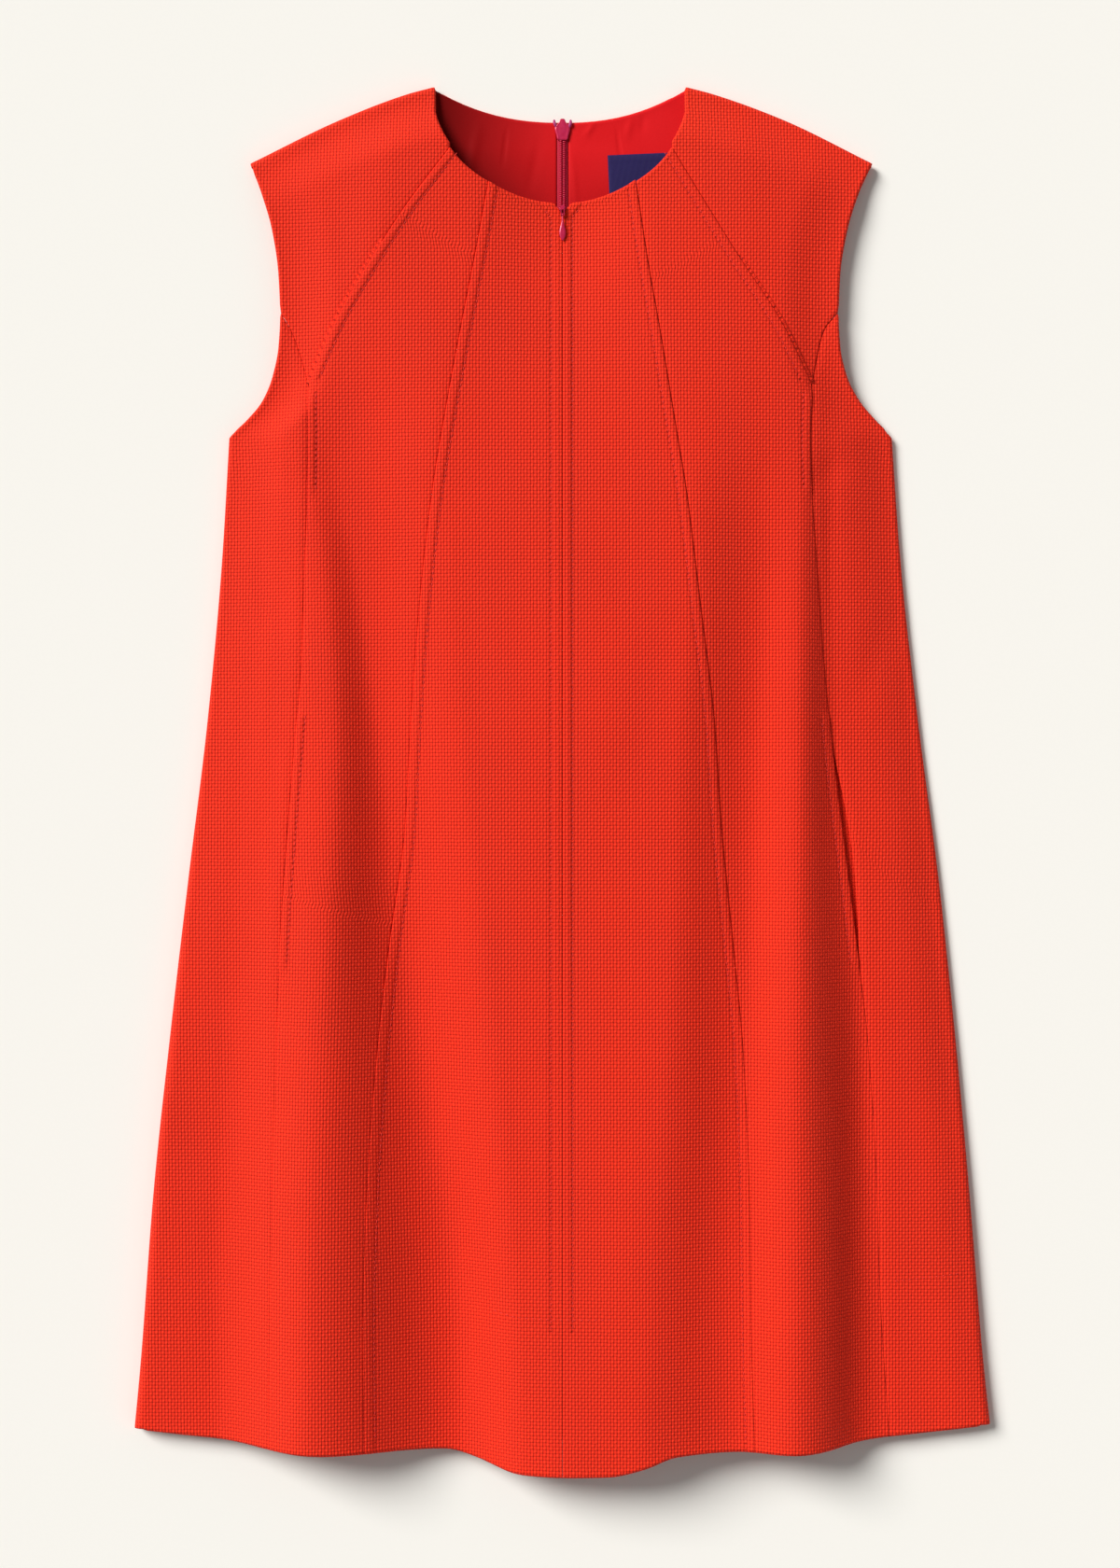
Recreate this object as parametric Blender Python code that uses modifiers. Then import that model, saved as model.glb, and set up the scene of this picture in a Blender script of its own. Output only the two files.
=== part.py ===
"""Sleeveless swing dress of thick basket-weave cloth, laid flat on its back with its front up.

Frame: +X to the viewer's right, +Y up the garment towards the neck, +Z up from the surface.
The origin is under the middle of the garment, on the surface. A place on the cloth is worked
out as a plan point, which is a distance from the centre line and a drop below the neck point,
and a height, which front_height gives. Sizes are in millimetres until put() makes them metres.
"""

import math

import bmesh
import bpy
import numpy as np

NAME = "swing_dress"
METRE = 0.001  # one millimetre, in metres

# Sizes of the whole dress.
LENGTH = 871.0  # neck point to the lowest point of the hem
CLOTH = 2.0  # wall of the outer cloth with its backing
SEAM_GAP = 0.3
LAYER_GAP = 0.3

# Folds at the outer edge: the side panels and yokes turn over here onto the back.
SHOULDER_RADIUS = 4.0
SHOULDER_STRIP = 4.0  # from the bottom of the shoulder fold to the seam
UNDERARM_RADIUS = 3.6
HEM_RADIUS = 6.0
LOOSENING = 400.0  # length below the underarm over which the side fold grows to its hem radius
FOLD_EASE = 34.0  # how far in from a fold the cloth takes to reach its own height
ARMHOLE_HEIGHT = 11.0  # outer height of the front's armhole edge
THINNING_FROM, THINNING = 160.0, 60.0  # drop and length over which that edge sinks to the side fold's

# Neck, cut as half an ellipse in front and a shallow curve behind.
NECK_HALF = {-1: 82.0, 1: 79.0}
FRONT_NECK_DROP = 75.0
BACK_NECK_DROP = 21.5
BACK_NECK_POWER = 2.3
NOTCH_HALF = 6.0
NOTCH_DEPTH = 9.0
NOTCH_POWER = 1.5  # above 1 the lips curve apart at the top
NOTCH_ROWS = (0.0, 0.3, 0.6, 1.0)  # shares of its depth that have rows of their own

# Outer edge. Columns: drop, distance from the centre line on the left, on the right.
SHOULDER = ((0.0, 81.0, 78.0), (4.5, 98.0, 95.0), (21.0, 141.0, 140.0), (48.5, 197.5, 196.0))
ARMHOLE = (
    (48.5, 197.5, 196.0),
    (68.0, 190.0, 187.0),
    (92.0, 183.0, 179.5),
    (120.0, 179.0, 175.0),
    (146.0, 178.0, 174.0),
    (165.0, 179.0, 175.0),
    (184.0, 183.0, 179.5),
    (199.0, 189.5, 187.5),
    (211.0, 199.5, 198.0),
    (219.0, 208.0, 206.0),
    (223.5, 211.0, 208.5),
)
SIDE = (
    (223.5, 211.0, 208.5),
    (300.0, 215.5, 214.0),
    (400.0, 224.5, 225.0),
    (500.0, 236.5, 238.0),
    (600.0, 248.0, 248.5),
    (700.0, 258.5, 257.5),
    (800.0, 266.0, 265.5),
    (850.0, 270.5, 270.5),
)

# Seams. Columns: drop, distance from the centre line on the left, on the right.
YOKE_SEAM = (
    (41.0, 70.5, 68.5),
    (75.0, 96.0, 89.0),
    (112.0, 120.0, 112.0),
    (150.0, 142.0, 137.0),
    (190.0, 160.0, 157.0),
)
SHORT_SEAM = (
    (144.0, 177.5, 173.5),
    (155.0, 171.0, 164.5),
    (173.0, 164.5, 160.0),
    (190.0, 160.0, 157.0),
)
INNER_SEAM = (
    (62.0, 46.5, 46.0),
    (110.0, 55.0, 53.0),
    (160.0, 64.5, 61.5),
    (210.0, 73.5, 69.5),
    (260.0, 81.5, 77.5),
    (330.0, 89.5, 86.0),
    (400.0, 95.0, 94.5),
    (470.0, 99.0, 99.5),
    (540.0, 108.5, 106.5),
    (610.0, 116.0, 113.0),
    (700.0, 122.0, 116.5),
    (780.0, 124.0, 117.5),
    (858.0, 123.0, 119.5),
)
OUTER_SEAM = (
    (190.0, 160.0, 157.0),
    (225.0, 159.5, 155.5),
    (260.0, 160.0, 157.0),
    (310.0, 162.0, 160.5),
    (360.0, 163.5, 164.0),
    (420.0, 168.0, 170.0),
    (480.0, 172.5, 177.5),
    (540.0, 176.5, 185.0),
    (600.0, 179.0, 192.0),
    (680.0, 181.0, 197.5),
    (760.0, 182.5, 200.0),
    (855.0, 183.5, 206.0),
)
BACK_SEAM = (
    (150.0, 172.0, 168.5),
    (190.0, 158.0, 156.0),
    (260.0, 150.0, 149.0),
    (420.0, 152.0, 151.0),
    (600.0, 161.0, 160.0),
    (848.0, 172.0, 171.0),
)
JUNCTION = 190.0  # drop at which the yoke seam and the short seam run into the outer seam
YOKE_POINT_GAP = 0.8  # how far the yoke's point stops short of the junction

# Hem. Columns: distance from the centre line to the right, drop of the front edge.
HEM = (
    (-270.5, 847.0),
    (-214.0, 853.0),
    (-155.0, 856.5),
    (-74.0, 859.0),
    (-55.0, 863.5),
    (-28.0, 870.0),
    (0.0, 871.0),
    (28.0, 870.5),
    (50.0, 866.0),
    (72.0, 859.0),
    (112.0, 857.0),
    (150.0, 856.5),
    (204.0, 852.0),
    (270.5, 845.0),
)
BACK_HEM = (856.0, 843.0, 270.0)  # drop at the centre, drop at the side, and the side's distance
BACK_EDGE_IN = 3.0  # the back armhole lies this much inside the front's
BACK_ARMHOLE_TOP = 62.0
UNDERARM_DROP, UNDERARM_DIP = 222.0, 3.5  # top of the side fold, and how far the front part climbs there
SIDE_FOLD_END = 848.0
NEAR_CORNER = 2.0  # an edge's own points start this far from its corners

# Lengthwise folds of the front. Each line runs down the dress; FOLD_DROPS are its sections, and
# each section gives the line's distance to the right of the centre and the cloth's outer height.
FOLD_DROPS = (0.0, 40.0, 80.0, 150.0, 240.0, 300.0, 420.0, 540.0, 660.0, 770.0, 871.0)
FOLD_LINES = {
    "left_rim": {
        "across": (-300.0,) * 11,
        "height": (11.0, 12.0, 12.0, 12.0, 11.0, 10.5, 10.5, 11.0, 12.0, 13.0, 13.5),
    },
    "left_trough": {
        "across": (-180.0, -180.0, -180.0, -184.0, -192.0, -192.0, -204.0, -212.0, -218.0, -222.0, -222.0),
        "height": (12.0, 13.0, 13.5, 14.0, 13.5, 13.0, 13.0, 13.0, 12.5, 12.0, 12.0),
    },
    "left_crest": {
        "across": (-140.0, -140.0, -140.0, -148.0, -161.0, -151.0, -143.0, -148.0, -152.0, -155.0, -157.0),
        "height": (14.0, 15.0, 16.0, 17.5, 19.0, 21.0, 26.0, 31.0, 35.0, 38.5, 40.5),
    },
    "left_valley": {
        "across": (-104.0, -106.0, -110.0, -126.0, -142.0, -130.0, -114.0, -101.0, -84.0, -70.0, -66.0),
        "height": (16.0, 17.0, 18.5, 19.5, 17.5, 16.0, 15.0, 13.5, 12.5, 12.0, 12.0),
    },
    "middle_left": {
        "across": (-60.0, -60.0, -60.0, -66.0, -72.0, -66.0, -58.0, -45.0, -34.0, -26.0, -22.0),
        "height": (15.0, 16.5, 17.5, 22.0, 25.5, 26.5, 28.5, 30.0, 31.0, 32.0, 33.0),
    },
    "middle": {
        "across": (0.0, 0.0, 0.0, 2.0, 8.0, 12.0, 12.0, 16.0, 18.0, 14.0, 10.0),
        "height": (12.0, 12.0, 11.6, 18.5, 25.5, 28.0, 30.5, 32.0, 33.5, 35.0, 36.0),
    },
    "middle_right": {
        "across": (60.0, 60.0, 60.0, 68.0, 80.0, 78.0, 70.0, 66.0, 60.0, 52.0, 43.0),
        "height": (15.0, 16.5, 17.5, 21.5, 25.5, 27.5, 30.0, 32.5, 34.5, 36.0, 36.5),
    },
    "right_valley": {
        "across": (104.0, 106.0, 110.0, 118.0, 130.0, 128.0, 119.0, 115.0, 110.0, 108.0, 108.0),
        "height": (16.0, 17.0, 18.0, 19.0, 20.0, 19.5, 19.5, 21.5, 24.0, 26.0, 27.5),
    },
    "right_crest": {
        "across": (140.0, 140.0, 140.0, 142.0, 147.0, 147.0, 147.0, 146.0, 145.0, 145.0, 145.0),
        "height": (14.0, 15.0, 16.0, 17.0, 19.5, 21.0, 25.5, 31.0, 35.0, 37.5, 38.5),
    },
    "right_trough": {
        "across": (180.0, 180.0, 180.0, 178.0, 173.0, 170.0, 174.0, 185.0, 195.0, 202.0, 206.0),
        "height": (12.0, 12.5, 13.0, 13.0, 13.5, 13.0, 12.0, 12.0, 12.0, 12.0, 12.0),
    },
    "right_rim": {
        "across": (300.0,) * 11,
        "height": (11.0, 12.0, 12.0, 12.0, 11.0, 10.0, 9.0, 9.0, 9.0, 9.5, 10.0),
    },
}

# How finely each part is sampled: rows run across the dress, columns run down it.
EDGE_POINTS = 60
PANEL_ROWS, CENTRE_COLUMNS, MID_COLUMNS = 29, 10, 8
SEAM_COLUMN = 0.04  # share of a panel's width taken by the narrow column along each seam
OUTER_ROWS, SHORT_ROWS, YOKE_COLUMNS, YOKE_ROWS = 22, 4, 8, 10
SIDE_ROWS, SIDE_COLUMNS, BACK_SIDE_COLUMNS = 25, 7, 5
BACK_COLUMNS, BACK_ARMHOLE_ROWS, SHOULDER_POINTS = 8, 5, 3
LINING_ROWS, FRONT_TAPE_ROWS = 7, 16
POCKET_COLUMNS = (3, 6)  # columns of the side panel and of the front panel that the bag lies under
ROLL_STEPS = 6
ROD_SEGMENTS = 20
SHARP_ANGLE = math.radians(40)

# In-seam pockets, in the outer seams. The right one stands open.
POCKET_TOP = 415.0
POCKET_BOTTOM = 552.0
POCKET_GAPE = {-1: 0.0, 1: 4.4}
POCKET_OVER = 16.0  # how far the bag reaches past the mouth's top, and half of its reach below
POCKET_WALL = 1.2

# Back neck: lining, label and zip, all seen through the neck.
LINING_WALL = 1.0
LINING_DROP = 150.0
LINING_HALF = 118.0
LINING_EDGE_IN = 1.0  # below the back neck's edge
LINING_CORNER_IN = 4.5  # inside the neck point
LINING_BULGE = 6.0
LABEL_WIDTH, LABEL_HEIGHT, LABEL_WALL = 48.0, 34.0, 0.6
LABEL_CORNER = (28.5, 43.0)  # distance right of the centre, and drop, of its top left corner
LABEL_TILT = math.radians(2.5)
BACK_ZIP_LENGTH = 500.0
BACK_ZIP_STOP = 6.0  # tape below the last tooth
BACK_TAPE_WIDTH, BACK_TAPE_WALL = 6.8, 0.7
BACK_COIL_WIDTH, BACK_COIL_WALL = 4.2, 1.3
BACK_SLIDER_TOP, BACK_SLIDER_LENGTH = 20.0, 13.5
BACK_SLIDER_WIDTH, BACK_SLIDER_WALL = 9.4, 1.6
# Columns: share of half the slider's width, share of its length.
SLIDER_OUTLINE = ((0.62, 0.0), (0.9, 0.12), (1.0, 0.34), (0.9, 0.55), (0.72, 0.8), (0.7, 1.0))

# Front zip: a concealed one, with only its slider's nose and its pull in sight.
FRONT_ZIP_LENGTH = 360.0
FRONT_TAPE_WIDTH, FRONT_TAPE_WALL = 14.0, 0.8
FRONT_TAPE_BELOW = 0.6  # from the slider's end to the tape's start
FRONT_SLIDER_TOP, FRONT_SLIDER_LENGTH = 77.2, 7.6
FRONT_SLIDER_WIDTH, FRONT_SLIDER_WALL = 4.2, 2.4
NOSE_LENGTH = 2.6  # the slider's post, which comes up through the notch
PIN_DROP = 83.2
PIN_HEIGHT = 14.2
PIN_RADIUS = 0.32
EAR_RADIUS = 0.75
EAR_WALL = 0.5
EAR_SUNK = 0.8  # how far the post reaches into the slider
EAR_CLEARANCE = 0.2
EYE_RADIUS, EYE_HOLE, EYE_WIDTH = 0.95, 0.6, 1.0
PULL_WALL = 1.0
# Columns: half width of the pull, distance below its pin.
PULL_OUTLINE = (
    (0.5, 0.5),
    (0.55, 2.6),
    (0.85, 5.0),
    (1.35, 7.2),
    (1.85, 9.2),
    (2.05, 10.8),
    (1.95, 12.4),
    (1.5, 14.0),
    (0.85, 15.3),
    (0.3, 16.0),
)

# Rounding of the small pieces' edges.
BEVEL_SEGMENTS = 2
COIL_BEVEL, BACK_SLIDER_BEVEL, FRONT_SLIDER_BEVEL, PULL_BEVEL = 0.35, 0.3, 0.5, 0.22

# Colours, as linear red, green and blue.
RED = (0.78, 0.028, 0.014)
LINING_RED = (0.72, 0.022, 0.03)
TAPE_RED = (0.52, 0.012, 0.08)
NAVY = (0.016, 0.01, 0.09)

LEFT, RIGHT = -1, 1


# ---------------------------------------------------------------- curves and heights


def smooth(at, knots, values):
    """Monotone cubic through (knots, values) at each `at`. Rows of 2-D tables are separate curves.

    The slope at a knot is the harmonic mean of its neighbours', and none where the curve turns.
    """
    at = np.atleast_1d(np.asarray(at, float))
    knots = np.broadcast_to(np.asarray(knots, float), (at.size, np.shape(knots)[-1]))
    values = np.broadcast_to(np.asarray(values, float), knots.shape)
    step = np.diff(knots, axis=1)
    rise = np.diff(values, axis=1) / step
    before, after = rise[:, :-1], rise[:, 1:]
    same_way = before * after > 0
    total = np.where(same_way, before + after, 1.0)
    inner = np.where(same_way, 2 * before * after / total, 0.0)
    slope = np.concatenate([rise[:, :1], inner, rise[:, -1:]], axis=1)
    k = (knots[:, 1:-1] <= at[:, None]).sum(axis=1)
    row = np.arange(at.size)
    h = step[row, k]
    t = np.clip((at - knots[row, k]) / h, 0.0, 1.0)
    y0, y1 = values[row, k], values[row, k + 1]
    m0, m1 = slope[row, k] * h, slope[row, k + 1] * h
    return y0 + t * m0 + t**2 * (3 * (y1 - y0) - 2 * m0 - m1) + t**3 * (2 * (y0 - y1) + m0 + m1)


def ease(t):
    """0 to 1 with level ends."""
    t = np.clip(t, 0.0, 1.0)
    return t * t * (3 - 2 * t)


def half_at(table, side, drop):
    """Distance from the centre line at which a table's course lies on this side, at a drop."""
    rows = np.array(table)
    return smooth(drop, rows[:, 0], rows[:, 1 if side == LEFT else 2])


def outer_half(side, drop):
    """Distance from the centre line to the armhole edge or the side fold."""
    armhole = half_at(ARMHOLE, side, np.clip(drop, ARMHOLE[0][0], ARMHOLE[-1][0]))
    return np.where(drop < ARMHOLE[-1][0], armhole, half_at(SIDE, side, drop))


def fold_radius(drop):
    """Radius of the side fold, tight at the underarm and looser at the hem."""
    return UNDERARM_RADIUS + (HEM_RADIUS - UNDERARM_RADIUS) * ease((drop - ARMHOLE[-1][0]) / LOOSENING)


def shoulder_drop(half):
    """Drop of the shoulder fold at a distance from the centre line."""
    rows = np.array(SHOULDER)
    return smooth(half, (rows[:, 1] + rows[:, 2]) / 2, rows[:, 0])


def front_height(across, drop):
    """Outer height of the front at plan points: the folds' sections, easing down to each outer fold."""
    across, drop = np.ravel(across).astype(float), np.ravel(drop).astype(float)
    lines = FOLD_LINES.values()
    places = np.stack([smooth(drop, FOLD_DROPS, line["across"]) for line in lines], axis=1)
    heights = np.stack([smooth(drop, FOLD_DROPS, line["height"]) for line in lines], axis=1)
    z = smooth(across, places, heights)
    half = np.abs(across)
    radius = fold_radius(drop)
    thinned = (2 * UNDERARM_RADIUS - ARMHOLE_HEIGHT) * ease((drop - THINNING_FROM) / THINNING)
    at_edge = np.where(drop < ARMHOLE[-1][0], ARMHOLE_HEIGHT + thinned, 2 * radius)
    for side in (LEFT, RIGHT):
        inside = outer_half(side, drop) - radius - half
        z = np.where(across * side > 0, at_edge + (z - at_edge) * ease(inside / FOLD_EASE), z)
    below = drop - shoulder_drop(half) - SHOULDER_RADIUS
    at_fold = 2 * SHOULDER_RADIUS
    return at_fold + (z - at_fold) * ease(below / FOLD_EASE)


def hem_drop(across):
    """Drop of the front hem at a distance to the right of the centre line."""
    rows = np.array(HEM)
    return smooth(across, rows[:, 0], rows[:, 1])


def front_neck(side, half):
    """Drop of the front neckline at a distance from the centre line."""
    share = np.clip(half / NECK_HALF[side], 0.0, 1.0)
    return FRONT_NECK_DROP * np.sqrt(1 - share**2)


def back_neck(side, half):
    """Drop of the back neckline at a distance from the centre line."""
    share = np.clip(half / NECK_HALF[side], 0.0, 1.0)
    return BACK_NECK_DROP * (1 - share**BACK_NECK_POWER)


# ---------------------------------------------------------------- plan patches


def spaced(points, at):
    """Points along a polyline: at a count of even distances, or at given shares of its length."""
    steps = np.hypot(*np.diff(points, axis=0).T)
    along = np.concatenate([[0.0], np.cumsum(steps)])
    share = np.linspace(0.0, 1.0, at) if isinstance(at, int) else at
    return np.stack([np.interp(share * along[-1], along, points[:, k]) for k in (0, 1)], axis=1)


def run(table, side, first, last, moved=0.0):
    """Plan points of a course from one drop to another, moved away from the centre line by a distance."""
    drop = np.linspace(first, last, EDGE_POINTS)
    return np.stack([side * (half_at(table, side, drop) + moved), drop], axis=1)


def moved_aside(points, distance):
    """The polyline moved to its left, seen along its course with drops growing downwards."""
    along = np.gradient(points, axis=0)
    along /= np.linalg.norm(along, axis=1)[:, None]
    return points + distance * np.stack([along[:, 1], -along[:, 0]], axis=1)


def beside_seams(count):
    """Shares of a panel's width for its columns, with a narrow one along each edge."""
    return np.concatenate([[0.0], np.linspace(SEAM_COLUMN, 1.0 - SEAM_COLUMN, count - 2), [1.0]])


def patch(top, bottom, start, end, share=None):
    """Coons patch: rows run from the start edge to the end edge, between the top and bottom edges."""
    u = (np.linspace(0.0, 1.0, len(top)) if share is None else share)[None, :, None]
    v = np.linspace(0.0, 1.0, len(start))[:, None, None]
    corners = (
        (1 - u) * (1 - v) * top[0] + u * (1 - v) * top[-1] + (1 - u) * v * bottom[0] + u * v * bottom[-1]
    )
    return (1 - v) * top[None] + v * bottom[None] + (1 - u) * start[:, None] + u * end[:, None] - corners


def joined(*edges):
    """One polyline from several that follow each other. A longer edge's first point repeats the last one."""
    return np.concatenate([edges[0]] + [edge[min(1, len(edge) - 1):] for edge in edges[1:]])


def on_front(plan, depth=0.0):
    """3-D points of plan points on the front's outer surface, or below it, along its normals."""
    across, drop = plan[..., 0], plan[..., 1]
    z = front_height(across, drop).reshape(across.shape)
    reach = 0.5
    dx = (front_height(across + reach, drop) - front_height(across - reach, drop)) / (2 * reach)
    ds = (front_height(across, drop + reach) - front_height(across, drop - reach)) / (2 * reach)
    normal = np.stack([-dx, -ds, np.ones_like(dx)], axis=-1).reshape(*across.shape, 3)
    normal /= np.linalg.norm(normal, axis=-1, keepdims=True)
    return np.stack([across, drop, z], axis=-1) - depth * normal


def at_height(plan, height):
    """3-D points of plan points, all at one height."""
    return np.concatenate([plan, np.full((*plan.shape[:-1], 1), height)], axis=-1)


# ---------------------------------------------------------------- objects


def clear_scene():
    """Removes every object that the scene starts with."""
    for item in list(bpy.data.objects):
        bpy.data.objects.remove(item, do_unlink=True)


def material(name, colour, roughness, metallic=0.0):
    """A Principled material."""
    made = bpy.data.materials.new(name)
    made.use_nodes = True
    shader = made.node_tree.nodes["Principled BSDF"]
    shader.inputs["Base Color"].default_value = (*colour, 1.0)
    shader.inputs["Roughness"].default_value = roughness
    shader.inputs["Metallic"].default_value = metallic
    made.diffuse_color = (*colour, 1.0)
    return made


def put(points):
    """Metres in the part's frame, from (distance right of the centre, drop, height) in millimetres."""
    points = np.asarray(points, float)
    return np.stack([points[..., 0], LENGTH / 2 - points[..., 1], points[..., 2]], axis=-1) * METRE


def add_object(name, mesh, look):
    """An object of the dress from a mesh, shaded smooth but for its sharp edges."""
    made = bpy.data.objects.new(name, mesh)
    mesh.materials.append(look)
    bpy.data.collections[NAME].objects.link(made)
    mesh.shade_smooth()
    mesh.set_sharp_from_angle(angle=SHARP_ANGLE)
    return made


def sheet(name, points, look, wall, face_up=True):
    """A panel: the grid's outer surface, given a wall by Solidify on its inner side."""
    rows, columns = points.shape[:2]
    index = np.arange(rows * columns).reshape(rows, columns)
    quads = np.stack([index[:-1, :-1], index[1:, :-1], index[1:, 1:], index[:-1, 1:]], axis=-1).reshape(-1, 4)
    places = put(points).reshape(-1, 3)
    first = places[quads[len(quads) // 2]]
    faces_up = np.cross(first[1] - first[0], first[2] - first[0])[2] > 0
    if faces_up != face_up:
        quads = quads[:, ::-1]
    mesh = bpy.data.meshes.new(name)
    mesh.from_pydata(places.tolist(), [], quads.tolist())
    made = add_object(name, mesh, look)
    solid = made.modifiers.new("wall", "SOLIDIFY")
    solid.thickness = wall * METRE
    solid.offset = -1.0
    return made


def round_edges(made, radius):
    """Rounds the sharp edges of a small piece."""
    rounded = made.modifiers.new("rounded", "BEVEL")
    rounded.width = radius * METRE
    rounded.segments = BEVEL_SEGMENTS
    rounded.limit_method = "ANGLE"


# ---------------------------------------------------------------- cloth panels
# Two panels that meet share the seam's sample points, each moved half the seam gap to its own side.


def side_name(side):
    """The side's word in the names of pieces."""
    return "left" if side == LEFT else "right"


def inner_seam(side, moved):
    """The inner seam's sample points, with close rows beside the zip's notch at its top."""
    end = hem_drop(side * half_at(INNER_SEAM, side, INNER_SEAM[-1][0]))[0]
    share = np.concatenate([[0.0, 0.005], np.linspace(0.01, 1.0, PANEL_ROWS - 2)])
    return moved_aside(spaced(run(INNER_SEAM, side, INNER_SEAM[0][0], end), share), moved * side)


def outer_seam(side, moved):
    """The outer seam's sample points, from where the yoke ends down to the hem."""
    end = hem_drop(side * half_at(OUTER_SEAM, side, OUTER_SEAM[-1][0]))[0]
    return moved_aside(spaced(run(OUTER_SEAM, side, JUNCTION, end), OUTER_ROWS), moved * side)


def yoke_seam(side, moved):
    """The yoke seam's sample points, from the neck down to the outer seam."""
    return moved_aside(spaced(run(YOKE_SEAM, side, YOKE_SEAM[0][0], JUNCTION), YOKE_COLUMNS), moved * side)


def short_seam(side, moved):
    """The short seam's sample points, from the armhole down to the outer seam."""
    return moved_aside(spaced(run(SHORT_SEAM, side, SHORT_SEAM[0][0], JUNCTION), SHORT_ROWS), moved * side)


def back_seam(side, moved):
    """The back seam's sample points, from the armhole down to the back hem."""
    end = back_hem_drop(half_at(BACK_SEAM, side, BACK_SEAM[-1][0]))[0]
    return moved_aside(spaced(run(BACK_SEAM, side, BACK_SEAM[0][0], end), SIDE_ROWS), moved * side)


def shoulder_seam(side, moved):
    """The two ends of the straight shoulder seam, on the back just below the fold."""
    ends = shoulder_line(side, SHOULDER_RADIUS + SHOULDER_STRIP)[[0, -1]]
    return moved_aside(ends, moved * side)


def hem_edge(start, end, share):
    """Plan points of the front hem between two distances to the right of the centre."""
    across = np.linspace(start, end, EDGE_POINTS)
    return spaced(np.stack([across, hem_drop(across)], axis=1), share)


def back_hem_drop(half):
    """Drop of the back hem: a plain arc a little above the front's."""
    return BACK_HEM[0] - (BACK_HEM[0] - BACK_HEM[1]) * (np.atleast_1d(half) / BACK_HEM[2]) ** 2


def back_hem_edge(start, end, count):
    """Plan points of the back hem between two distances to the right of the centre."""
    across = np.linspace(start, end, EDGE_POINTS)
    return spaced(np.stack([across, back_hem_drop(across)], axis=1), count)


def front_centre(side, look):
    """From the centre front to the inner seam, with half of the zip's notch at its top."""
    seam = inner_seam(side, -SEAM_GAP / 2)
    half = np.linspace(NOTCH_HALF, abs(seam[0, 0]), EDGE_POINTS)
    neck = np.stack([side * half, front_neck(side, half)], axis=1)
    neck[-1] = seam[0]
    notch_top = neck[0, 1]
    drops = np.concatenate([
        notch_top + NOTCH_DEPTH * np.array(NOTCH_ROWS),
        np.linspace(notch_top + NOTCH_DEPTH, hem_drop(0.0)[0], PANEL_ROWS - len(NOTCH_ROWS) + 1)[1:],
    ])
    opened = np.clip((notch_top + NOTCH_DEPTH - drops) / NOTCH_DEPTH, 0.0, 1.0) ** NOTCH_POWER
    middle = np.stack([side * (SEAM_GAP / 2 + (NOTCH_HALF - SEAM_GAP / 2) * opened), drops], axis=1)
    share = beside_seams(CENTRE_COLUMNS)
    hem = hem_edge(middle[-1, 0], seam[-1, 0], share)
    hem[-1] = seam[-1]
    plan = patch(spaced(neck, share), hem, middle, seam, share)
    return sheet(f"front_centre_{side_name(side)}", on_front(plan), look, CLOTH)


def front_mid_plan(side):
    """Plan grid of that panel, which the pocket bag is made from too."""
    seam = inner_seam(side, SEAM_GAP / 2)
    edge = joined(yoke_seam(side, -SEAM_GAP / 2), outer_seam(side, -SEAM_GAP / 2))
    share = beside_seams(MID_COLUMNS)
    half = abs(seam[0, 0]) + (abs(edge[0, 0]) - abs(seam[0, 0])) * share
    neck = np.stack([side * half, front_neck(side, half)], axis=1)
    neck[:, 1] += seam[0, 1] - neck[0, 1] + (edge[0, 1] - neck[-1, 1] - seam[0, 1] + neck[0, 1]) * share
    hem = hem_edge(seam[-1, 0], edge[-1, 0], share)
    hem[[0, -1]] = seam[-1], edge[-1]
    return patch(neck, hem, seam, edge, share)


def front_mid(side, look):
    """The panel between the inner seam and the yoke and outer seams."""
    plan = front_mid_plan(side)
    return sheet(f"front_mid_{side_name(side)}", on_front(plan), look, CLOTH)


def roll_over(edge_top, edge_rim, radius):
    """Half-turn from a fold's top line out to its rim and under, one line of points for each step."""
    lines = []
    for angle in np.linspace(math.pi / 2, -math.pi / 2, ROLL_STEPS + 1)[1:]:
        plan = edge_top + (edge_rim - edge_top) * math.cos(angle)
        lines.append(np.concatenate([plan, (radius * (1 + math.sin(angle)))[:, None]], axis=1))
    return lines


def side_fold(side):
    """Top line, rim and radius of the side fold, one row for each row of the side panel."""
    drops = np.linspace(UNDERARM_DROP, SIDE_FOLD_END, SIDE_ROWS)
    radius = fold_radius(drops)
    rim = np.stack([side * half_at(SIDE, side, drops), drops], axis=1)
    top = rim - np.stack([side * radius, np.zeros(SIDE_ROWS)], axis=1)
    top[0, 1] -= UNDERARM_DIP
    top[-1, 1] = hem_drop(top[-1, 0])[0]
    rim[-1, 1] = hem_drop(rim[-1, 0])[0]
    return top, rim, radius


def side_front_plan(side):
    """Plan grid of the side panel's front part, from the outer seam to the fold's top line."""
    seam = joined(short_seam(side, SEAM_GAP / 2), outer_seam(side, SEAM_GAP / 2))
    mouth = np.clip((seam[:, 1] - POCKET_TOP) / (POCKET_BOTTOM - POCKET_TOP), 0.0, 1.0)
    seam[:, 0] += side * POCKET_GAPE[side] * np.sin(np.pi * mouth)
    top, _, _ = side_fold(side)
    armhole = run(ARMHOLE, side, seam[0, 1] + NEAR_CORNER, UNDERARM_DROP)
    armhole = armhole[np.abs(armhole[:, 0]) < abs(top[0, 0]) - NEAR_CORNER]
    share = beside_seams(SIDE_COLUMNS)
    armhole = spaced(joined(seam[:1], armhole, top[:1]), share)
    hem = hem_edge(seam[-1, 0], top[-1, 0], share)
    hem[[0, -1]] = seam[-1], top[-1]
    return patch(armhole, hem, seam, top, share)


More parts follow.
